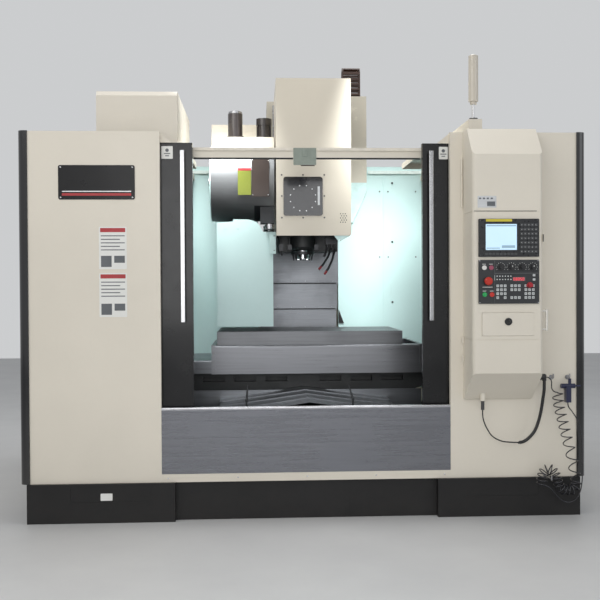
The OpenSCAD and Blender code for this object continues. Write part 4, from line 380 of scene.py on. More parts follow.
# A dark patch on the drum's underside where its cut-out for the tool arm opens: painted shade
casing.over(casing.box(-330, -100, 880, 1030, 1900, 2215), (0.02, 0.022, 0.025), 0.45, 0.3)
motors = paint("motor_gloss", (0.022, 0.017, 0.016), 0.22, 0.2, 0.05, 0.0, coat=0.5)
motors.over(motors.box(-540, -380, 800, 1200, 2757, 2800), STEEL, 0.25, 0.9)
rear = paint("guard_paint", MINT, 0.36, 0.05, 0.10, 0.0, wear=0.18)
# The rear guards' folded top rail in a lighter mint: a painted highlight
rear.over(rear.box(y0=1600, y1=1649.0, z0=2395, z1=2440), srgb(222, 236, 232), 0.34)
# Faces of the rear guards that stand forward of the wall, below the rail, in dark teal: painted shade
rear.over(rear.box(y0=1600, y1=1649.2, z0=600, z1=2380), (0.10, 0.12, 0.12), 0.4)
hooked = paint("right_cover_paint", CREAM, 0.42, 0.04, 0.12, 0.22, wear=0.10)
hooked.over(hooked.box(x0=1400, y1=-0.6, z1=960), STEEL, 0.3, 0.85)
box_paint = paint("console_paint", CREAM, 0.40, 0.035, 0.12, 0.16, wear=0.08)
box_paint.over(box_paint.box(x0=1439.6, y0=-205, y1=-90, z0=860, z1=940), BLACK, 0.45)
box_paint.over(box_paint.box(x0=1439.6, y0=-260, y1=-180, z0=1190, z1=1345), srgb(225, 222, 214), 0.25, 0.2)
box_paint.over(box_paint.box(x0=1438.8, y0=-250, y1=-220, z0=1740, z1=1795), BLACK, 0.4)
box_paint.over(box_paint.box(x0=1080, x1=1150, y0=-100, y1=-30, z1=747), (0.05, 0.05, 0.052), 0.4)
cover_head = paint("head_paint", srgb(224, 216, 200), 0.40, 0.04, 0.10, 0.0, wear=0.10)
cover_head.over(cover_head.box(y1=699.4), (0.09, 0.09, 0.09), 0.4, 0.5)
cover_head.over(cover_head.box(230, 356, 695, 720, 1800, 1841), MINT, 0.4)
pane = plastic("window_gloss_black", (0.012, 0.013, 0.018), 0.16, 0.2, 200.0, 0.01, coat=0.1)
pane.over(pane.box(x0=122, x1=146, y1=691.9), srgb(214, 218, 220), 0.3)
pane.over(pane.box(x1=108, y1=691.9, z0=2015, z1=2235), (0.25, 0.25, 0.26), 0.3, 0.8)
keys = plastic("panel_keys", GRAPHITE, 0.42, 0.2)
keys.over(keys.box(y1=-264.6, z1=1560), srgb(196, 200, 200), 0.4)
keys.over(keys.box(x0=1134, y0=-264.7, y1=-262.2, z0=1366, z1=1634), (0.12, 0.125, 0.13), 0.4)
keys.over(keys.box(x0=1134, x1=1246, y0=-265, y1=-262.2, z0=1508, z1=1540), srgb(220, 224, 224), 0.3)
keys.over(keys.box(x0=1330, x1=1374, y1=-262.2, z0=1458, z1=1502), (0.42, 0.02, 0.03), 0.3)
keys.over(keys.box(x0=1200, y1=-262.4, z0=1560), DIAL, 0.35)
bezel = plastic("bezel_black", (0.014, 0.015, 0.017), 0.3, 0.2)
bezel.over(bezel.box(y1=-262.6), (0.055, 0.058, 0.062), 0.42)
front = paint("drawer_paint", CREAM, 0.40, 0.035, 0.12, 0.16, wear=0.08)
front.over(front.box(y1=-256.6), (0.02, 0.021, 0.024), 0.28)
lamp = plastic("lamp_lens", srgb(206, 198, 184), 0.22, 0.03, coat=0.4)
lamp.over(lamp.box(z0=2583, z1=2674), (0.55, 0.55, 0.56), 0.15, 1.0)
lamp.over(lamp.box(z1=2583.2), (0.03, 0.03, 0.032), 0.4)
cabinet = paint("cabinet_paint", CREAM, 0.44, 0.05, 0.14, 0.30, wear=0.14)
cabinet.over(cabinet.box(z1=259.6), BLACK, 0.5)
cabinet.over(cabinet.box(y0=2760.6), STEEL, 0.35, 0.8)
apron_mat = steel("apron_sheet", (0.20, 0.205, 0.225), 0.27, ALONG_X, 60.0, 0.06, 0.22, 0.95, 0.08,
                  (0.20, 0.21, 0.24))
apron_mat.over(apron_mat.box(y1=22, z0=700), (0.50, 0.50, 0.52), 0.18, 1.0)

nozzle_mat = steel("nozzle_black", (0.030, 0.031, 0.034), 0.34, ALONG_X, 50.0, 0.2, 0.2, 0.5, 0.08)

by_node = {
    "bed": bed, "levelling_feet": foot, "base_skirt": black_low, "chip_pan": dark, "column": trough,
    "axis_guides": guide, "left_cover": cream, "right_cover": hooked, "corner_trims": gloss_black,
    "front_apron": apron_mat, "front_frame": strip, "door_tracks": tracks, "rear_guards": rear,
    "magazine_casing": casing, "tool_disc": guide, "tool_arm": guide, "atc_housing": cream,
    "atc_motors": motors, "magazine_guard": mint, "z_cover_lower": cover, "z_cover_middle": cover,
    "z_cover_upper": cover, "y_cover_front": cover, "y_cover_second": cover, "y_cover_third": cover,
    "slide_covers": cover, "cross_slide": slide, "x_guides": guide, "table": table_top,
    "table_guard": apron, "x_cover_left": cover, "x_cover_right": cover, "head_casting": slide,
    "head_cover": cover_head, "head_window": pane, "spindle": bright, "coolant_nozzles": nozzle_mat,
    "cable_chain": chain_mat, "left_door": door_paint, "left_door_glass": glass, "right_door": door_paint,
    "right_door_glass": glass, "console": box_paint, "display_unit": bezel, "operator_panel": keys,
    "emergency_stop": red_mat, "start_button": green_mat, "stop_button": red_button,
    "power_on_button": white_mat, "power_off_button": pink_mat, "feed_dial": knob_mat, "mode_dial": knob_mat,
    "drawer": front, "signal_lamp": lamp, "electrical_cabinet": cabinet, "coolant_tank": dark,
    "air_gun": gun_mat,
}
for name, mat in by_node.items():
    me = nodes[name].data
    me.materials.clear()
    me.materials.append(mat.m)


# Pieces

def mesh_piece(name, mat, body):
    me = bpy.data.meshes.new(name)
    ob = bpy.data.objects.new(name, me)
    bpy.context.collection.objects.link(ob)
    me.materials.append(mat.m)
    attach(ob, body)
    return ob


def fill(ob, bm, smooth=False):
    bmesh.ops.recalc_face_normals(bm, faces=bm.faces)
    bm.to_mesh(ob.data)
    bm.free()
    if smooth:
        for p in ob.data.polygons:
            p.use_smooth = True


def add_box(bm, x0, x1, y0, y1, z0, z1, bevel=0.0):
    a, b = at(x0, y0, z0), at(x1, y1, z1)
    r = bmesh.ops.create_cube(bm, size=1.0)
    for v in r["verts"]:
        v.co = Vector(((a.x + b.x) / 2 + v.co.x * (b.x - a.x), (a.y + b.y) / 2 + v.co.y * (b.y - a.y),
                       (a.z + b.z) / 2 + v.co.z * (b.z - a.z)))
    if bevel:
        edges = set(e for v in r["verts"] for e in v.link_edges)
        bmesh.ops.bevel(bm, geom=list(edges), offset=bevel / 1000.0, segments=2, affect="EDGES", profile=0.5)


# How a piece drawn along +Z is turned to stand proud along each axis; Y is towards the front
TURNS = {"Y": Matrix.Rotation(math.pi / 2, 4, "X"), "Z": Matrix.Identity(4),
         "X": Matrix.Rotation(math.pi / 2, 4, "Y"), "-X": Matrix.Rotation(-math.pi / 2, 4, "Y")}


def add_disc(bm, x, y, z, d, h, axis="Y", segs=16, taper=1.0):
    """A short cylinder that stands proud from (x, y, z) towards the front, the top or a side."""
    m = Matrix.Translation(at(x, y, z)) @ TURNS[axis] @ Matrix.Translation((0, 0, h / 2000.0))
    bmesh.ops.create_cone(bm, cap_ends=True, segments=segs, radius1=d / 2000.0, radius2=d / 2000.0 * taper,
                          depth=h / 1000.0, matrix=m)


SCREW_SIDES = 12


def add_screw(bm, x, y, z, d=9.0, axis="Y"):
    """Button-head screw: a domed head with a socket sunk in its top."""
    h = d * 0.42
    r = d / 2000.0
    m = Matrix.Translation(at(x, y, z)) @ TURNS[axis]
    n = SCREW_SIDES
    turns = [2 * math.pi * k / n for k in range(n)]
    rings = [(r, 0.0), (r * 0.96, h * 0.45), (r * 0.78, h * 0.85), (r * 0.5, h), (r * 0.42, h * 0.96),
             (r * 0.36, h * 0.45)]
    last = None
    for rad, z_mm in rings:
        ring = [bm.verts.new(m @ Vector((rad * math.cos(a), rad * math.sin(a), z_mm / 1000.0)))
                for a in turns]
        if last:
            for k in range(n):
                bm.faces.new((last[k], last[(k + 1) % n], ring[(k + 1) % n], ring[k]))
        else:
            bm.faces.new(list(reversed(ring)))
        last = ring
    bm.faces.new(last)


def screws(name, body, places, mat=None, d=9.0, axis="Y"):
    ob = mesh_piece(name, mat or bright, body)
    bm = bmesh.new()
    for p in places:
        add_screw(bm, *p, d, axis)
    fill(ob, bm, True)
    return ob


def plate(name, mat, body, x0, x1, y, z0, z1, t=1.5, r=6.0):
    """Thin plate with rounded corners that lies on a front face at y."""
    ob = mesh_piece(name, mat, body)
    bm = bmesh.new()
    loop = []
    r = min(r, (x1 - x0) / 2.01, (z1 - z0) / 2.01)
    corners = ((x1 - r, z1 - r, 0), (x0 + r, z1 - r, 90), (x0 + r, z0 + r, 180), (x1 - r, z0 + r, 270))
    for cx, cz, a0 in corners:
        for k in range(5):
            a = math.radians(a0 + k * 22.5)
            loop.append((cx + r * math.cos(a), cz + r * math.sin(a)))
    front = [bm.verts.new(at(x, y - t, z)) for x, z in loop]
    back = [bm.verts.new(at(x, y, z)) for x, z in loop]
    bm.faces.new(front)
    bm.faces.new(list(reversed(back)))
    for k in range(len(loop)):
        j = (k + 1) % len(loop)
        bm.faces.new((front[k], back[k], back[j], front[j]))
    fill(ob, bm)
    return ob


# Cords: the same routes as the solids, from the part's source

THIN = [(1112, -60, 690), (1112, -60, 655), (1118, -62, 620), (1136, -64, 575), (1170, -68, 524),
        (1222, -72, 494), (1278, -74, 484), (1345, -74, 481)]
THICK = [(1345, -74, 481), (1372, -76, 488), (1405, -78, 512), (1440, -80, 555), (1464, -84, 618),
         (1478, -92, 690), (1486, -102, 760), (1490, -112, 815), (1490, -116, 850), (1490, -116, 876)]
LEAD = [(1467.3, -176, 906), (1484, -176, 906), (1502, -171, 899), (1521, -157, 881), (1530, -136, 853),
        (1539, -115, 825), (1560, -101, 805), (1590, -96, 797.5)]
HOSE = [(1592, -64, 792), (1600, -66, 720), (1618, -68, 640), (1640, -72, 550), (1662, -76, 460),
        (1682, -80, 370), (1696, -84, 290), (1704, -87, 230), (1690, -88, 192), (1672, -88, 180),
        (1650, -88, 180)]
BUNCH = [(1649.7, -88, 180), (1630, -88, 180), (1600, -90, 196), (1584, -90, 230), (1566, -90, 280),
         (1536, -90, 310), (1502, -90, 300), (1486, -88, 262), (1484, -88, 220)]
TAIL = [(1480, -117, 215), (1502, -117, 212), (1530, -114, 196), (1556, -108, 168), (1586, -100, 134),
        (1620, -92, 108), (1662, -84, 98), (1702, -76, 112), (1734, -68, 150), (1751, -60, 206),
        (1758, -54, 280), (1760, -48, 370), (1758, -45, 460), (1748, -45, 550), (1724, -46, 622),
        (1692, -46, 672), (1670, -46, 702), (1666, -46, 730)]


# Steps between two points of a route before it is laid out evenly
SUBSTEPS = 24


def smooth_route(points, step):
    """Points along a Catmull-Rom curve through the route, at an even spacing, in the row frame."""
    p = [q if isinstance(q, Vector) else at(*q) for q in points]
    p = [p[0] * 2 - p[1]] + p + [p[-1] * 2 - p[-2]]
    dense = []
    for i in range(1, len(p) - 2):
        a, b, c, d = p[i - 1:i + 3]
        for k in range(SUBSTEPS):
            t = k / SUBSTEPS
            dense.append(0.5 * ((2 * b) + (c - a) * t + (2 * a - 5 * b + 4 * c - d) * t * t
                                + (3 * b - a - 3 * c + d) * t ** 3))
    dense.append(p[-2])
    out, need, run = [dense[0]], step, 0.0
    for a, b in zip(dense, dense[1:]):
        seg = (b - a).length
        while run + seg >= need:
            out.append(a.lerp(b, (need - run) / seg))
            need += step
        run += seg
    if (out[-1] - dense[-1]).length > step * 0.3:
        out.append(dense[-1])
    else:
        out[-1] = dense[-1]
    return out


def frames(line):
    """A side and an up direction at each point that turn as little as they can."""
    t = [(line[min(i + 1, len(line) - 1)] - line[max(i - 1, 0)]).normalized() for i in range(len(line))]
    n = t[0].cross(Vector((0, 1, 0))).normalized()
    found = []
    for i, d in enumerate(t):
        n = (n - d * n.dot(d)).normalized()
        found.append((n, d.cross(n)))
    return found


def curve_piece(name, line, d, mat, body, sides=4):
    cu = bpy.data.curves.new(name, "CURVE")
    cu.dimensions = "3D"
    cu.bevel_depth = d / 2
    cu.bevel_resolution = sides
    cu.use_fill_caps = True
    sp = cu.splines.new("POLY")
    sp.points.add(len(line) - 1)
    for i, p in enumerate(line):
        sp.points[i].co = (*p, 1.0)
    cu.materials.append(mat.m)
    ob = bpy.data.objects.new(name, cu)
    bpy.context.collection.objects.link(ob)
    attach(ob, body)
    return ob


# Cords' thicknesses, the coil's radius at the hose's middle and the spacing of points along them, in m
LEAD_D = 0.008
CONDUIT_D = 0.0216
HOSE_D = 0.007
COIL_R = 0.032
CORD_STEP = 0.006
RIB_STEP = 0.0027
# The conduit's sides, and its radius in a groove as a share of its radius on a rib
CONDUIT_SIDES = 14
GROOVE = 0.86
# The coil's points in each turn, and its pitch in m at shares of its route
TURN_POINTS = 16
PITCHES = [(0.0, 0.044), (0.28, 0.052), (0.42, 0.090), (0.54, 0.080), (0.62, 0.026), (1.0, 0.0235)]

thin_line = smooth_route(THIN, CORD_STEP)
thin = curve_piece("console_lead", thin_line, LEAD_D, rubber, "frame")


def conduit_piece(name, line, d, mat):
    """Corrugated conduit: a tube that is thick and thin in turn at the points of its line."""
    ob = mesh_piece(name, mat, "frame")
    bm = bmesh.new()
    fr = frames(line)
    last = None
    n = CONDUIT_SIDES
    for i, p in enumerate(line):
        r = d / 2 * (1.0 if i % 2 == 0 else GROOVE)
        ring = [bm.verts.new(p + (fr[i][0] * math.cos(a) + fr[i][1] * math.sin(a)) * r)
                for a in (2 * math.pi * k / n for k in range(n))]
        if last:
            for k in range(n):
                bm.faces.new((last[k], last[(k + 1) % n], ring[(k + 1) % n], ring[k]))
        else:
            bm.faces.new(ring)
        last = ring
    bm.faces.new(last)
    fill(ob, bm, True)
    return ob


thick_line = smooth_route(list(reversed(THICK)), RIB_STEP)
conduit = conduit_piece("console_conduit", thick_line, CONDUIT_D, rubber)
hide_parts("loop_cable")
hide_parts("loop_cable")


def collar_piece(name, line, mat, tip_r=0.0052, depth=0.016, out=0.004):
    """A short cone at the conduit's low end, which narrows towards the thin lead."""
    ob = mesh_piece(name, mat, "frame")
    bm = bmesh.new()
    d = (line[-1] - line[-3]).normalized()
    turn = d.to_track_quat("Z", "Y").to_matrix().to_4x4()
    bmesh.ops.create_cone(bm, cap_ends=True, segments=CONDUIT_SIDES, radius1=CONDUIT_D / 2, radius2=tip_r,
                          depth=depth, matrix=Matrix.Translation(line[-1] + d * out) @ turn)
    fill(ob, bm, True)
    return ob


collar = collar_piece("conduit_end", thick_line, rubber)


def coil_line(route, radius, pitches, turn=-1.0):
    """A helix round a route: its pitch follows the given stops, it starts and ends in front of the
    route's line, and a loop lays it a share of a turn at a time."""
    step = 0.001
    share = 2 * math.pi / TURN_POINTS
    line = smooth_route(route, step)
    fr = frames(line)
    total = len(line) - 1

    def pitch(s):
        for (a, pa), (b, pb) in zip(pitches, pitches[1:]):
            if s <= b:
                return pa + (pb - pa) * (s - a) / (b - a)
        return pitches[-1][1]

    whole = sum(step / pitch(i / total) for i in range(1, total + 1))
    fit = round(whole) / whole
    angle, out, since = math.pi / 2, [], share
    for i, p in enumerate(line):
        if i:
            d = 2 * math.pi * step / pitch(i / total) * fit
            angle += turn * d
            since += d
        if since >= share or i == total:
            if i == total and since < share / 2:
                out.pop()
            out.append(p + (fr[i][0] * math.cos(angle) + fr[i][1] * math.sin(angle)) * radius)
            since = 0.0
    return out


coil = coil_line(HOSE + BUNCH[1:], COIL_R, PITCHES)
lead_points = smooth_route(LEAD, 2 * CORD_STEP)[:-1]
tail_points = smooth_route(TAIL, 2 * CORD_STEP)[2:]
hose_line = smooth_route(lead_points + coil + tail_points, CORD_STEP)
hose = curve_piece("curly_air_hose", hose_line, HOSE_D, hose_mat, "frame", 3)
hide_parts("air_hose", "hose_bunch")


# Details

def boxes(name, mat, body, places, bevel=0.0):
    ob = mesh_piece(name, mat, body)
    bm = bmesh.new()
    for p in places:
        add_box(bm, *p, bevel=bevel)
    fill(ob, bm)
    return ob


def discs(name, mat, body, places, axis="Y", segs=16, taper=0.9):
    ob = mesh_piece(name, mat, body)
    bm = bmesh.new()
    for x, y, z, d, h in places:
        add_disc(bm, x, y, z, d, h, axis, segs, taper)
    fill(ob, bm)
    return ob


card_mat = plastic("card_white", srgb(232, 232, 228), 0.4, 0.04, 300.0, 0.03)
ink_mat = plastic("ink_grey", srgb(96, 100, 104), 0.5, 0.1, 300.0, 0.03)
red_ink = plastic("ink_red", (0.42, 0.025, 0.03), 0.4, 0.1, 300.0, 0.03)
yellow_mat = plastic("plate_yellow", srgb(112, 120, 34), 0.42, 0.12, 300.0, 0.05)
strip_yellow = plastic("strip_yellow", srgb(212, 196, 60), 0.4, 0.1, 300.0, 0.05)
name_mat = paint("nameplate_black", GLOSS, 0.30, 0.2, 0.03, 0.0, coat=0.05, wear=0.1,
                 spec=0.25)
screen_mat = plastic("screen_lit", srgb(196, 226, 244), 0.2, 0.03, 300.0, 0.0, coat=0.3, glow=0.45)
digit_mat = plastic("digit_red", (0.85, 0.02, 0.05), 0.3, 0.1, 300.0, 0.0, glow=0.9)
# Black rubber for the wipers, seams and screws, and also the painted shadow strip under the header
rubber_and_shade_mat = plastic("rubber_and_painted_shade", (0.012, 0.012, 0.013), 0.6, 0.3, 400.0, 0.2)
tip_red = plastic("tip_red", (0.35, 0.05, 0.06), 0.4, 0.15)
silver_plate = steel("label_silver", (0.55, 0.56, 0.57), 0.35, ALONG_X, 60.0, 0.08, 0.1, 0.8, 0.04)

# Faces that details lie on, in mm: depths behind the covers' front, the side covers' distance from the
# middle and the roof's height
COVER_FACE = 0
PLINTH_FACE = -18
DOOR_FACE = 58
CONSOLE_FACE = -250
SCREEN_FACE = -260.6
PANEL_FACE = -261.8
DIGIT_FACE = -264.5
KEY_FACE = -265.5
DIAL_FACE = -288
WINDOW_FACE = 691.4
HEAD_FACE = 700.2
BROWN_FACE = 797.8
YELLOW_FACE = 799
GUARD_FACE = 1647
SIDE_FACE = 1794.6
ROOF_FACE = 2390.0
# Thickness of a card, of a mark printed on one and of a tick on the panel, in mm
CARD_T = 1.2
MARK_T = 0.5
TICK_T = 0.6


def marks(name, mat, face, places, body="frame", t=MARK_T):
    """Flat marks that stand proud of a face; each place is x0, x1, z0, z1."""
    return boxes(name, mat, body, [(x0, x1, face - t, face, z0, z1) for x0, x1, z0, z1 in places])


def make_nameplate():
    """Black board on the left cover with two stripes and a screw in each corner."""
    x0, x1, z0, z1, t = -1549, -1074, 2028, 2243, 3.0
    face = COVER_FACE - t
    plate("nameplate", name_mat, "frame", x0, x1, COVER_FACE, z0, z1, t, 12)
    a, b = x0 + 23, x1 - 23
    plate("nameplate_stripe", red_ink, "frame", a, b, face, z0 + 24, z0 + 40, 0.8, 2)
    plate("nameplate_field", silver_plate, "frame", a, b, face, z0 + 48, z0 + 54, 0.6, 2)
    screws("nameplate_screws", "frame",
           [(x, face, z) for x in (x0 + 15, x1 - 15) for z in (z0 + 13, z1 - 13)], d=11)


def make_cards():
    """Two cards on the left cover, each with a red head, five lines and two fields."""
    x0, x1 = -1300, -1128
    face = COVER_FACE - CARD_T
    for i, (z0, z1) in enumerate(((1592, 1858), (1292, 1568))):
        plate("card_%d" % i, card_mat, "frame", x0, x1, COVER_FACE, z0, z1, CARD_T, 6)
        plate("card_%d_head" % i, red_ink, "frame", x0 + 8, x1 - 8, face, z1 - 34, z1 - 8,
              MARK_T, 2)
        places = [(x0 + 12, x1 - 12 - 30 * (k % 2), z1 - 60 - 22 * k, z1 - 54 - 22 * k) for k in range(5)]
        places += [(x0 + 12, x0 + 78, z0 + 14, z0 + 84), (x0 + 94, x1 - 12, z0 + 40, z0 + 84)]
        marks("card_%d_marks" % i, ink_mat, face, places)
    plate("plinth_mark", card_mat, "frame", x0, x0 + 74, PLINTH_FACE, 141, 186, 1.0, 4)


def make_door_cards():
    """A small card at the top of each door, with a round mark and two bars."""
    z0, z1 = 2292, 2372
    face = DOOR_FACE - CARD_T
    for side, x0, x1 in (("left", -914, -842), ("right", 861, 919)):
        body = side + "_door"
        mid = (x0 + x1) / 2
        plate(side + "_door_card", card_mat, body, x0, x1, DOOR_FACE, z0, z1, CARD_T, 4)
        discs(side + "_door_card_mark", ink_mat, body, [(mid, face, z0 + 54, 22, MARK_T)],
              segs=20)
        marks(side + "_door_card_bars", ink_mat, face,
              [(mid - 20, mid + 20, z0 + 30, z0 + 36), (mid - 12, mid + 12, z0 + 16, z0 + 22)], body)


def make_changer_plates():
    """Yellow plate on four legs before the tool changer, and the screws of the brown plate beside it."""
    x0, x1, z0, z1 = -448, -352, 2142, 2316
    plate("yellow_plate", yellow_mat, "frame", x0, x1, YELLOW_FACE, z0, z1, 3.0, 3)
    plate("yellow_plate_head", red_ink, "frame", x0, x1, YELLOW_FACE, z1 + 2, z1 + 18, 3.2, 2)
    boxes("yellow_plate_legs", guide, "frame",
          [(x, x + 8, YELLOW_FACE, YELLOW_FACE + 31, z, z + 12)
           for x in (x0 + 8, x1 - 16) for z in (z0 + 18, z1 - 16)])
    screws("brown_plate_screws", "frame", [(x, BROWN_FACE, z) for x in (-340, -229) for z in (2142, 2390)],
           d=10)


def make_console_labels():
    """The strip over the display, the label over it, and the lit screen with its bars."""
    plate("console_strip", strip_yellow, "frame", 1082, 1243, PANEL_FACE, 1867, 1882, 1.0, 2)
    x0, x1, z0, z1 = 1034, 1150, 1953, 2024
    plate("console_label", silver_plate, "frame", x0, x1, CONSOLE_FACE, z0, z1, CARD_T, 3)
    marks("console_label_marks", ink_mat, CONSOLE_FACE - CARD_T,
          [(x0 + 8 + 24 * k, x0 + 22 + 24 * k, z1 - 20, z1 - 10) for k in range(4)]
          + [(x1 - 58, x1 - 8, z0 + 9, z0 + 37)])
    x0, x1, z0, z1, t = 1081, 1273, 1694, 1852, 0.8
    plate("screen", screen_mat, "frame", x0, x1, SCREEN_FACE, z0, z1, t, 3)
    marks("screen_bars", plastic("screen_grey", srgb(150, 178, 196), 0.2, 0.03, 300.0, 0.0, glow=0.3),
          SCREEN_FACE - t,
          [(x0 + 5, x1 - 5, z1 - 14, z1 - 6), (x1 - 93, x1 - 11, z0 + 12, z0 + 28),
           (x0 + 5, x0 + 87, z0 + 8, z0 + 14)])


# Which bars of a seven-bar digit are lit; a is the top one, and the rest follow clockwise, with g last
SEGMENTS = {"0": "abcdef", "5": "afgcd", "8": "abcdefg"}


def digits(name, text, x, y, z, w, h, gap):
    t = w * 0.2
    places = []
    for k, ch in enumerate(text):
        x0 = x + k * (w + gap)
        spots = {"a": (x0, x0 + w, z + h - t, z + h), "g": (x0, x0 + w, z + h / 2 - t / 2, z + h / 2 + t / 2),
                 "d": (x0, x0 + w, z, z + t), "f": (x0, x0 + t, z + h / 2, z + h),
                 "e": (x0, x0 + t, z, z + h / 2),
                 "b": (x0 + w - t, x0 + w, z + h / 2, z + h), "c": (x0 + w - t, x0 + w, z, z + h / 2)}
        places += [spots[seg] for seg in SEGMENTS[ch]]
    marks(name, digit_mat, y, places)


def make_panel_marks():
    """Digits, ticks round the dials, bars over the buttons, pointers, key marks and screws."""
    digits("panel_digits", "08050", 1251, DIGIT_FACE, 1508, 9.5, 16, 4.5)
    dial_z, tick_r, half = 1589, 27, 1.6
    places = []
    for k in range(4):
        for n in range(9):
            a = math.radians(90 + (n - 4) * 30)
            px, pz = 1173 + 66 * k + tick_r * math.cos(a), dial_z + tick_r * math.sin(a)
            places.append((px - half, px + half, pz - half, pz + half))
    for x, z in ((1072, 1422), (1117, 1422), (1070, 1586), (1113, 1586)):
        places.append((x - 11, x + 11, z + 20, z + 23))
    places.append((1060, 1122, 1466, 1469))
    marks("dial_ticks", card_mat, PANEL_FACE, places, t=TICK_T)
    marks("pointer_marks", card_mat, DIAL_FACE,
          [(x - 1.5, x + 1.5, dial_z, dial_z + 11) for x in (1239, 1371)], t=TICK_T)
    keys_at = [(1149 + c * 23 + (c // 3) * 18, 1401 + r * 24) for r in range(4) for c in range(9)
               if not (r == 1 and 2 < c < 6) and not (r == 0 and c == 1)]
    marks("key_marks", ink_mat, KEY_FACE, [(x, x + 8, z, z + 3) for x, z in keys_at])
    marks("keypad_marks", card_mat, KEY_FACE,
          [(1299 + c * 22, 1304 + c * 22, 1683 + r * 27, 1685 + r * 27) for r in range(7) for c in range(5)])
    screws("panel_screws", "frame", [(x, PANEL_FACE, z) for x in (1044, 1404) for z in (1372, 1628)], d=7)


def make_console_seam():
    """The dark seam across the console's front, and the hinge's three knuckles at its left edge."""
    boxes("console_seam", rubber_and_shade_mat, "frame",
          [(1012, 1400, CONSOLE_FACE - 0.6, CONSOLE_FACE + 0.2, 1930.5, 1934)])
    discs("console_hinge", cream, "frame",
          [(994, -9, 1976 + 106 * k, 13, 100) for k in range(3)], "Z", taper=1.0)


def make_head_details():
    """Vent holes in the head cover, wiper strips with screws at the Z covers, and red hose tips."""
    discs("head_vent_holes", rubber_and_shade_mat, "head",
          [(303 + 17 * i + 8 * (j % 2), HEAD_FACE, 1967 + 15 * j, 8, 0.8)
           for i in (-1, 0, 1) for j in range(-2, 3)])
    x, t = 25, 2.5
    for body, y, z, w in (("head", 1627, 1500, 312), ("z_cover_middle", 1634, 1290, 305)):
        marks(body + "_wiper", rubber_and_shade_mat, y, [(x - w, x + w, z + 1, z + 10)], body, t)
        screws(body + "_wiper_screws", body, [(x + k * w / 5.5, y, z + 22) for k in range(-5, 6, 2)])
    tips = mesh_piece("coolant_tips", tip_red, "head")
    bm = bmesh.new()
    depth = 0.030
    for a, b in (((216, 909.7, 1616.0), (184, 897.7, 1567.7)), ((176, 909.7, 1642.0), (142, 897.7, 1603.7))):
        a, b = at(*a), at(*b)
        d = (b - a).normalized()
        turn = d.to_track_quat("Z", "Y").to_matrix().to_4x4()
        bmesh.ops.create_cone(bm, cap_ends=True, segments=14, radius1=0.0093, radius2=0.0086, depth=depth,
                              matrix=Matrix.Translation(b - d * depth / 2) @ turn)
    fill(tips, bm, True)


def make_guard_details():
    """Seam and screws of the rear guards, the two gussets at the Z cover's foot, and a dark strip under the
    header as its painted shadow.
    """
    boxes("guard_seam", mint, "frame",
          [(727, 735, GUARD_FACE - 4, GUARD_FACE, 1180, 2376)], 1.0)
    screws("guard_screws", "frame", [(805, GUARD_FACE, z) for z in (1348, 1845, 2330)], rubber_and_shade_mat,
           16)
    gussets = mesh_piece("z_cover_gussets", rubber_and_shade_mat, "frame")
    bm = bmesh.new()
    z0, z1 = 1177, 1291
    for foot, tip in ((-236, -193), (400, 357)):
        corners = ((foot, z0), (tip, z0), (tip, z1))
        ring = [bm.verts.new(at(x, y, z)) for y in (GUARD_FACE - 6, GUARD_FACE) for x, z in corners]
        for f in ((0, 1, 2), (5, 4, 3), (0, 3, 4, 1), (1, 4, 5, 2), (2, 5, 3, 0)):
            bm.faces.new([ring[k] for k in f])
    fill(gussets, bm)
    # A dark strip along the header's lower edge: painted shadow
    boxes("header_shadow_strip", rubber_and_shade_mat, "frame",
          [(x0, x1, 114, 126, 2299, 2309) for x0, x1 in ((-716, -76), (75, 750))], 1.0)


def make_window_screws():
    """Twelve screws in the ring round the head's window."""
    x, z, r = 17, 2107, 92
    turns = [math.radians(a) for a in range(15, 375, 30)]
    discs("window_ring_screws", silver_plate, "head",
          [(x + r * math.cos(a), WINDOW_FACE, z + r * math.sin(a), 9, 2.4) for a in turns])


def make_sheet_screws():
    """Rows of screws along the edges of the side covers, in the sill and in the roof sheets."""
    rows = []
    for y in range(110, 2260, 268):
        rows += [(y, 290), (y, 2410)]
    for z in range(560, 2300, 290):
        rows += [(96, z), (2276, z)]
    screws("left_side_screws", "frame", [(-SIDE_FACE, y, z) for y, z in rows], d=12, axis="-X")
    screws("right_side_screws", "frame", [(SIDE_FACE, y, z) for y, z in rows], d=12, axis="X")
    screws("sill_screws", "frame", [(440 * k, COVER_FACE, 272) for k in range(-2, 3)], d=10)
    screws("roof_screws", "frame", [(side * x, y, ROOF_FACE) for side in (-1, 1) for x in (1080, 1400, 1720)
                                    for y in (1240, 1600)], d=12, axis="Z")


make_nameplate()
make_cards()
make_door_cards()
make_changer_plates()
make_console_labels()
make_panel_marks()
make_console_seam()
make_head_details()
make_guard_details()
make_window_screws()
make_sheet_screws()


# Floor, backdrop and lights

def make_stage():
    m = Mat("stage_floor")
    n = m.noise(1.3, 5.0, 0.6)
    col = m.ramp(n, "Fac", [(0.3, (0.60, 0.60, 0.60)), (0.7, (0.66, 0.66, 0.655))]).outputs["Color"]
    m.put("Base Color", col)
    m.put("Roughness", 0.55)
    me = bpy.data.meshes.new("stage_floor")
    ob = bpy.data.objects.new("stage_floor", me)
    bpy.context.collection.objects.link(ob)
    bm = bmesh.new()
    v = [bm.verts.new(p) for p in ((-14, -12, 0), (14, -12, 0), (14, 12, 0), (-14, 12, 0))]
    bm.faces.new(v)
    bm.to_mesh(me)
    bm.free()
    me.materials.append(m.m)


make_stage()


def area_light(name, loc, target, size, power, size_y=None, col=(1, 1, 1)):
    data = bpy.data.lights.new(name, "AREA")
    data.shape = "RECTANGLE"
    data.size, data.size_y = size, size_y or size
    data.energy = power
    data.color = col
    ob = bpy.data.objects.new(name, data)
    bpy.context.collection.objects.link(ob)
    ob.location = loc
    ob.rotation_euler = (Vector(target) - Vector(loc)).to_track_quat("-Z", "Y").to_euler()
    return ob


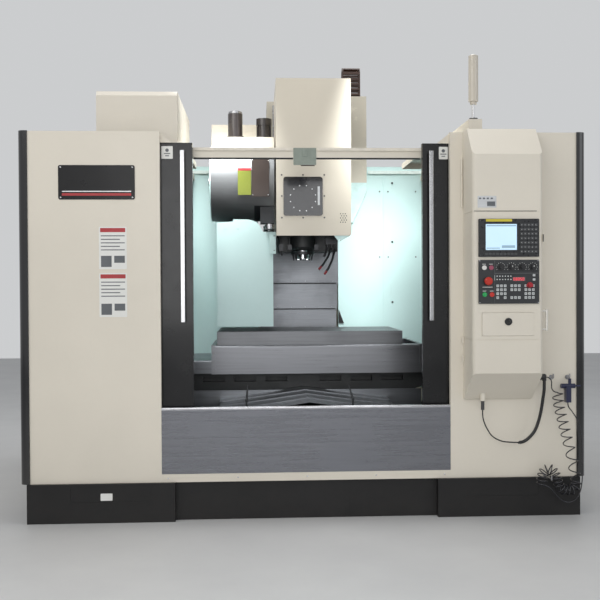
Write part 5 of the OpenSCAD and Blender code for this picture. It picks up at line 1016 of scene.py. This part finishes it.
def make_light():
    area_light("key", (-3.5, -5.5, 5.0), (0, 0, 1.2), 4.0, 92, 3.0, (1.0, 0.97, 0.92))
    area_light("fill", (5.0, -4.5, 3.0), (0.2, 0, 1.2), 3.5, 38, 3.0, (0.94, 0.97, 1.0))
    area_light("front", (-0.3, -7.5, 2.2), (0.0, 0, 1.3), 4.0, 92, 2.5)
    area_light("top", (0.0, 0.2, 6.0), (0, 0.1, 0), 4.0, 150, 4.0)
    for side in (-1, 1):
        lamp = area_light("inside_%d" % side, (0.02 + side * 0.62, -0.95, 3.1),
                          (0.02 + side * 0.66, 0.4, 1.45), 0.5, 7, 0.5, (0.97, 1.0, 1.0))
        lamp.data.spread = 0.9
    w = bpy.data.worlds.new("studio")
    bpy.context.scene.world = w
    w.use_nodes = True
    nt = w.node_tree
    nt.nodes.clear()
    out = nt.nodes.new("ShaderNodeOutputWorld")
    light = nt.nodes.new("ShaderNodeBackground")
    light.inputs["Color"].default_value = (0.93, 0.96, 1.0, 1)
    light.inputs["Strength"].default_value = 0.34
    seen = nt.nodes.new("ShaderNodeBackground")
    seen.inputs["Color"].default_value = (0.60, 0.61, 0.62, 1)
    seen.inputs["Strength"].default_value = 1.0
    path = nt.nodes.new("ShaderNodeLightPath")
    first = nt.nodes.new("ShaderNodeMath")
    first.operation = "MAXIMUM"
    nt.links.new(path.outputs["Is Camera Ray"], first.inputs[0])
    nt.links.new(path.outputs["Is Transmission Ray"], first.inputs[1])
    both = nt.nodes.new("ShaderNodeMath")
    both.operation = "MAXIMUM"
    nt.links.new(first.outputs[0], both.inputs[0])
    nt.links.new(path.outputs["Is Glossy Ray"], both.inputs[1])
    mx = nt.nodes.new("ShaderNodeMixShader")
    nt.links.new(both.outputs[0], mx.inputs["Fac"])
    nt.links.new(light.outputs[0], mx.inputs[1])
    nt.links.new(seen.outputs[0], mx.inputs[2])
    nt.links.new(mx.outputs[0], out.inputs["Surface"])


make_light()
bpy.context.scene.view_settings.view_transform = "Standard"
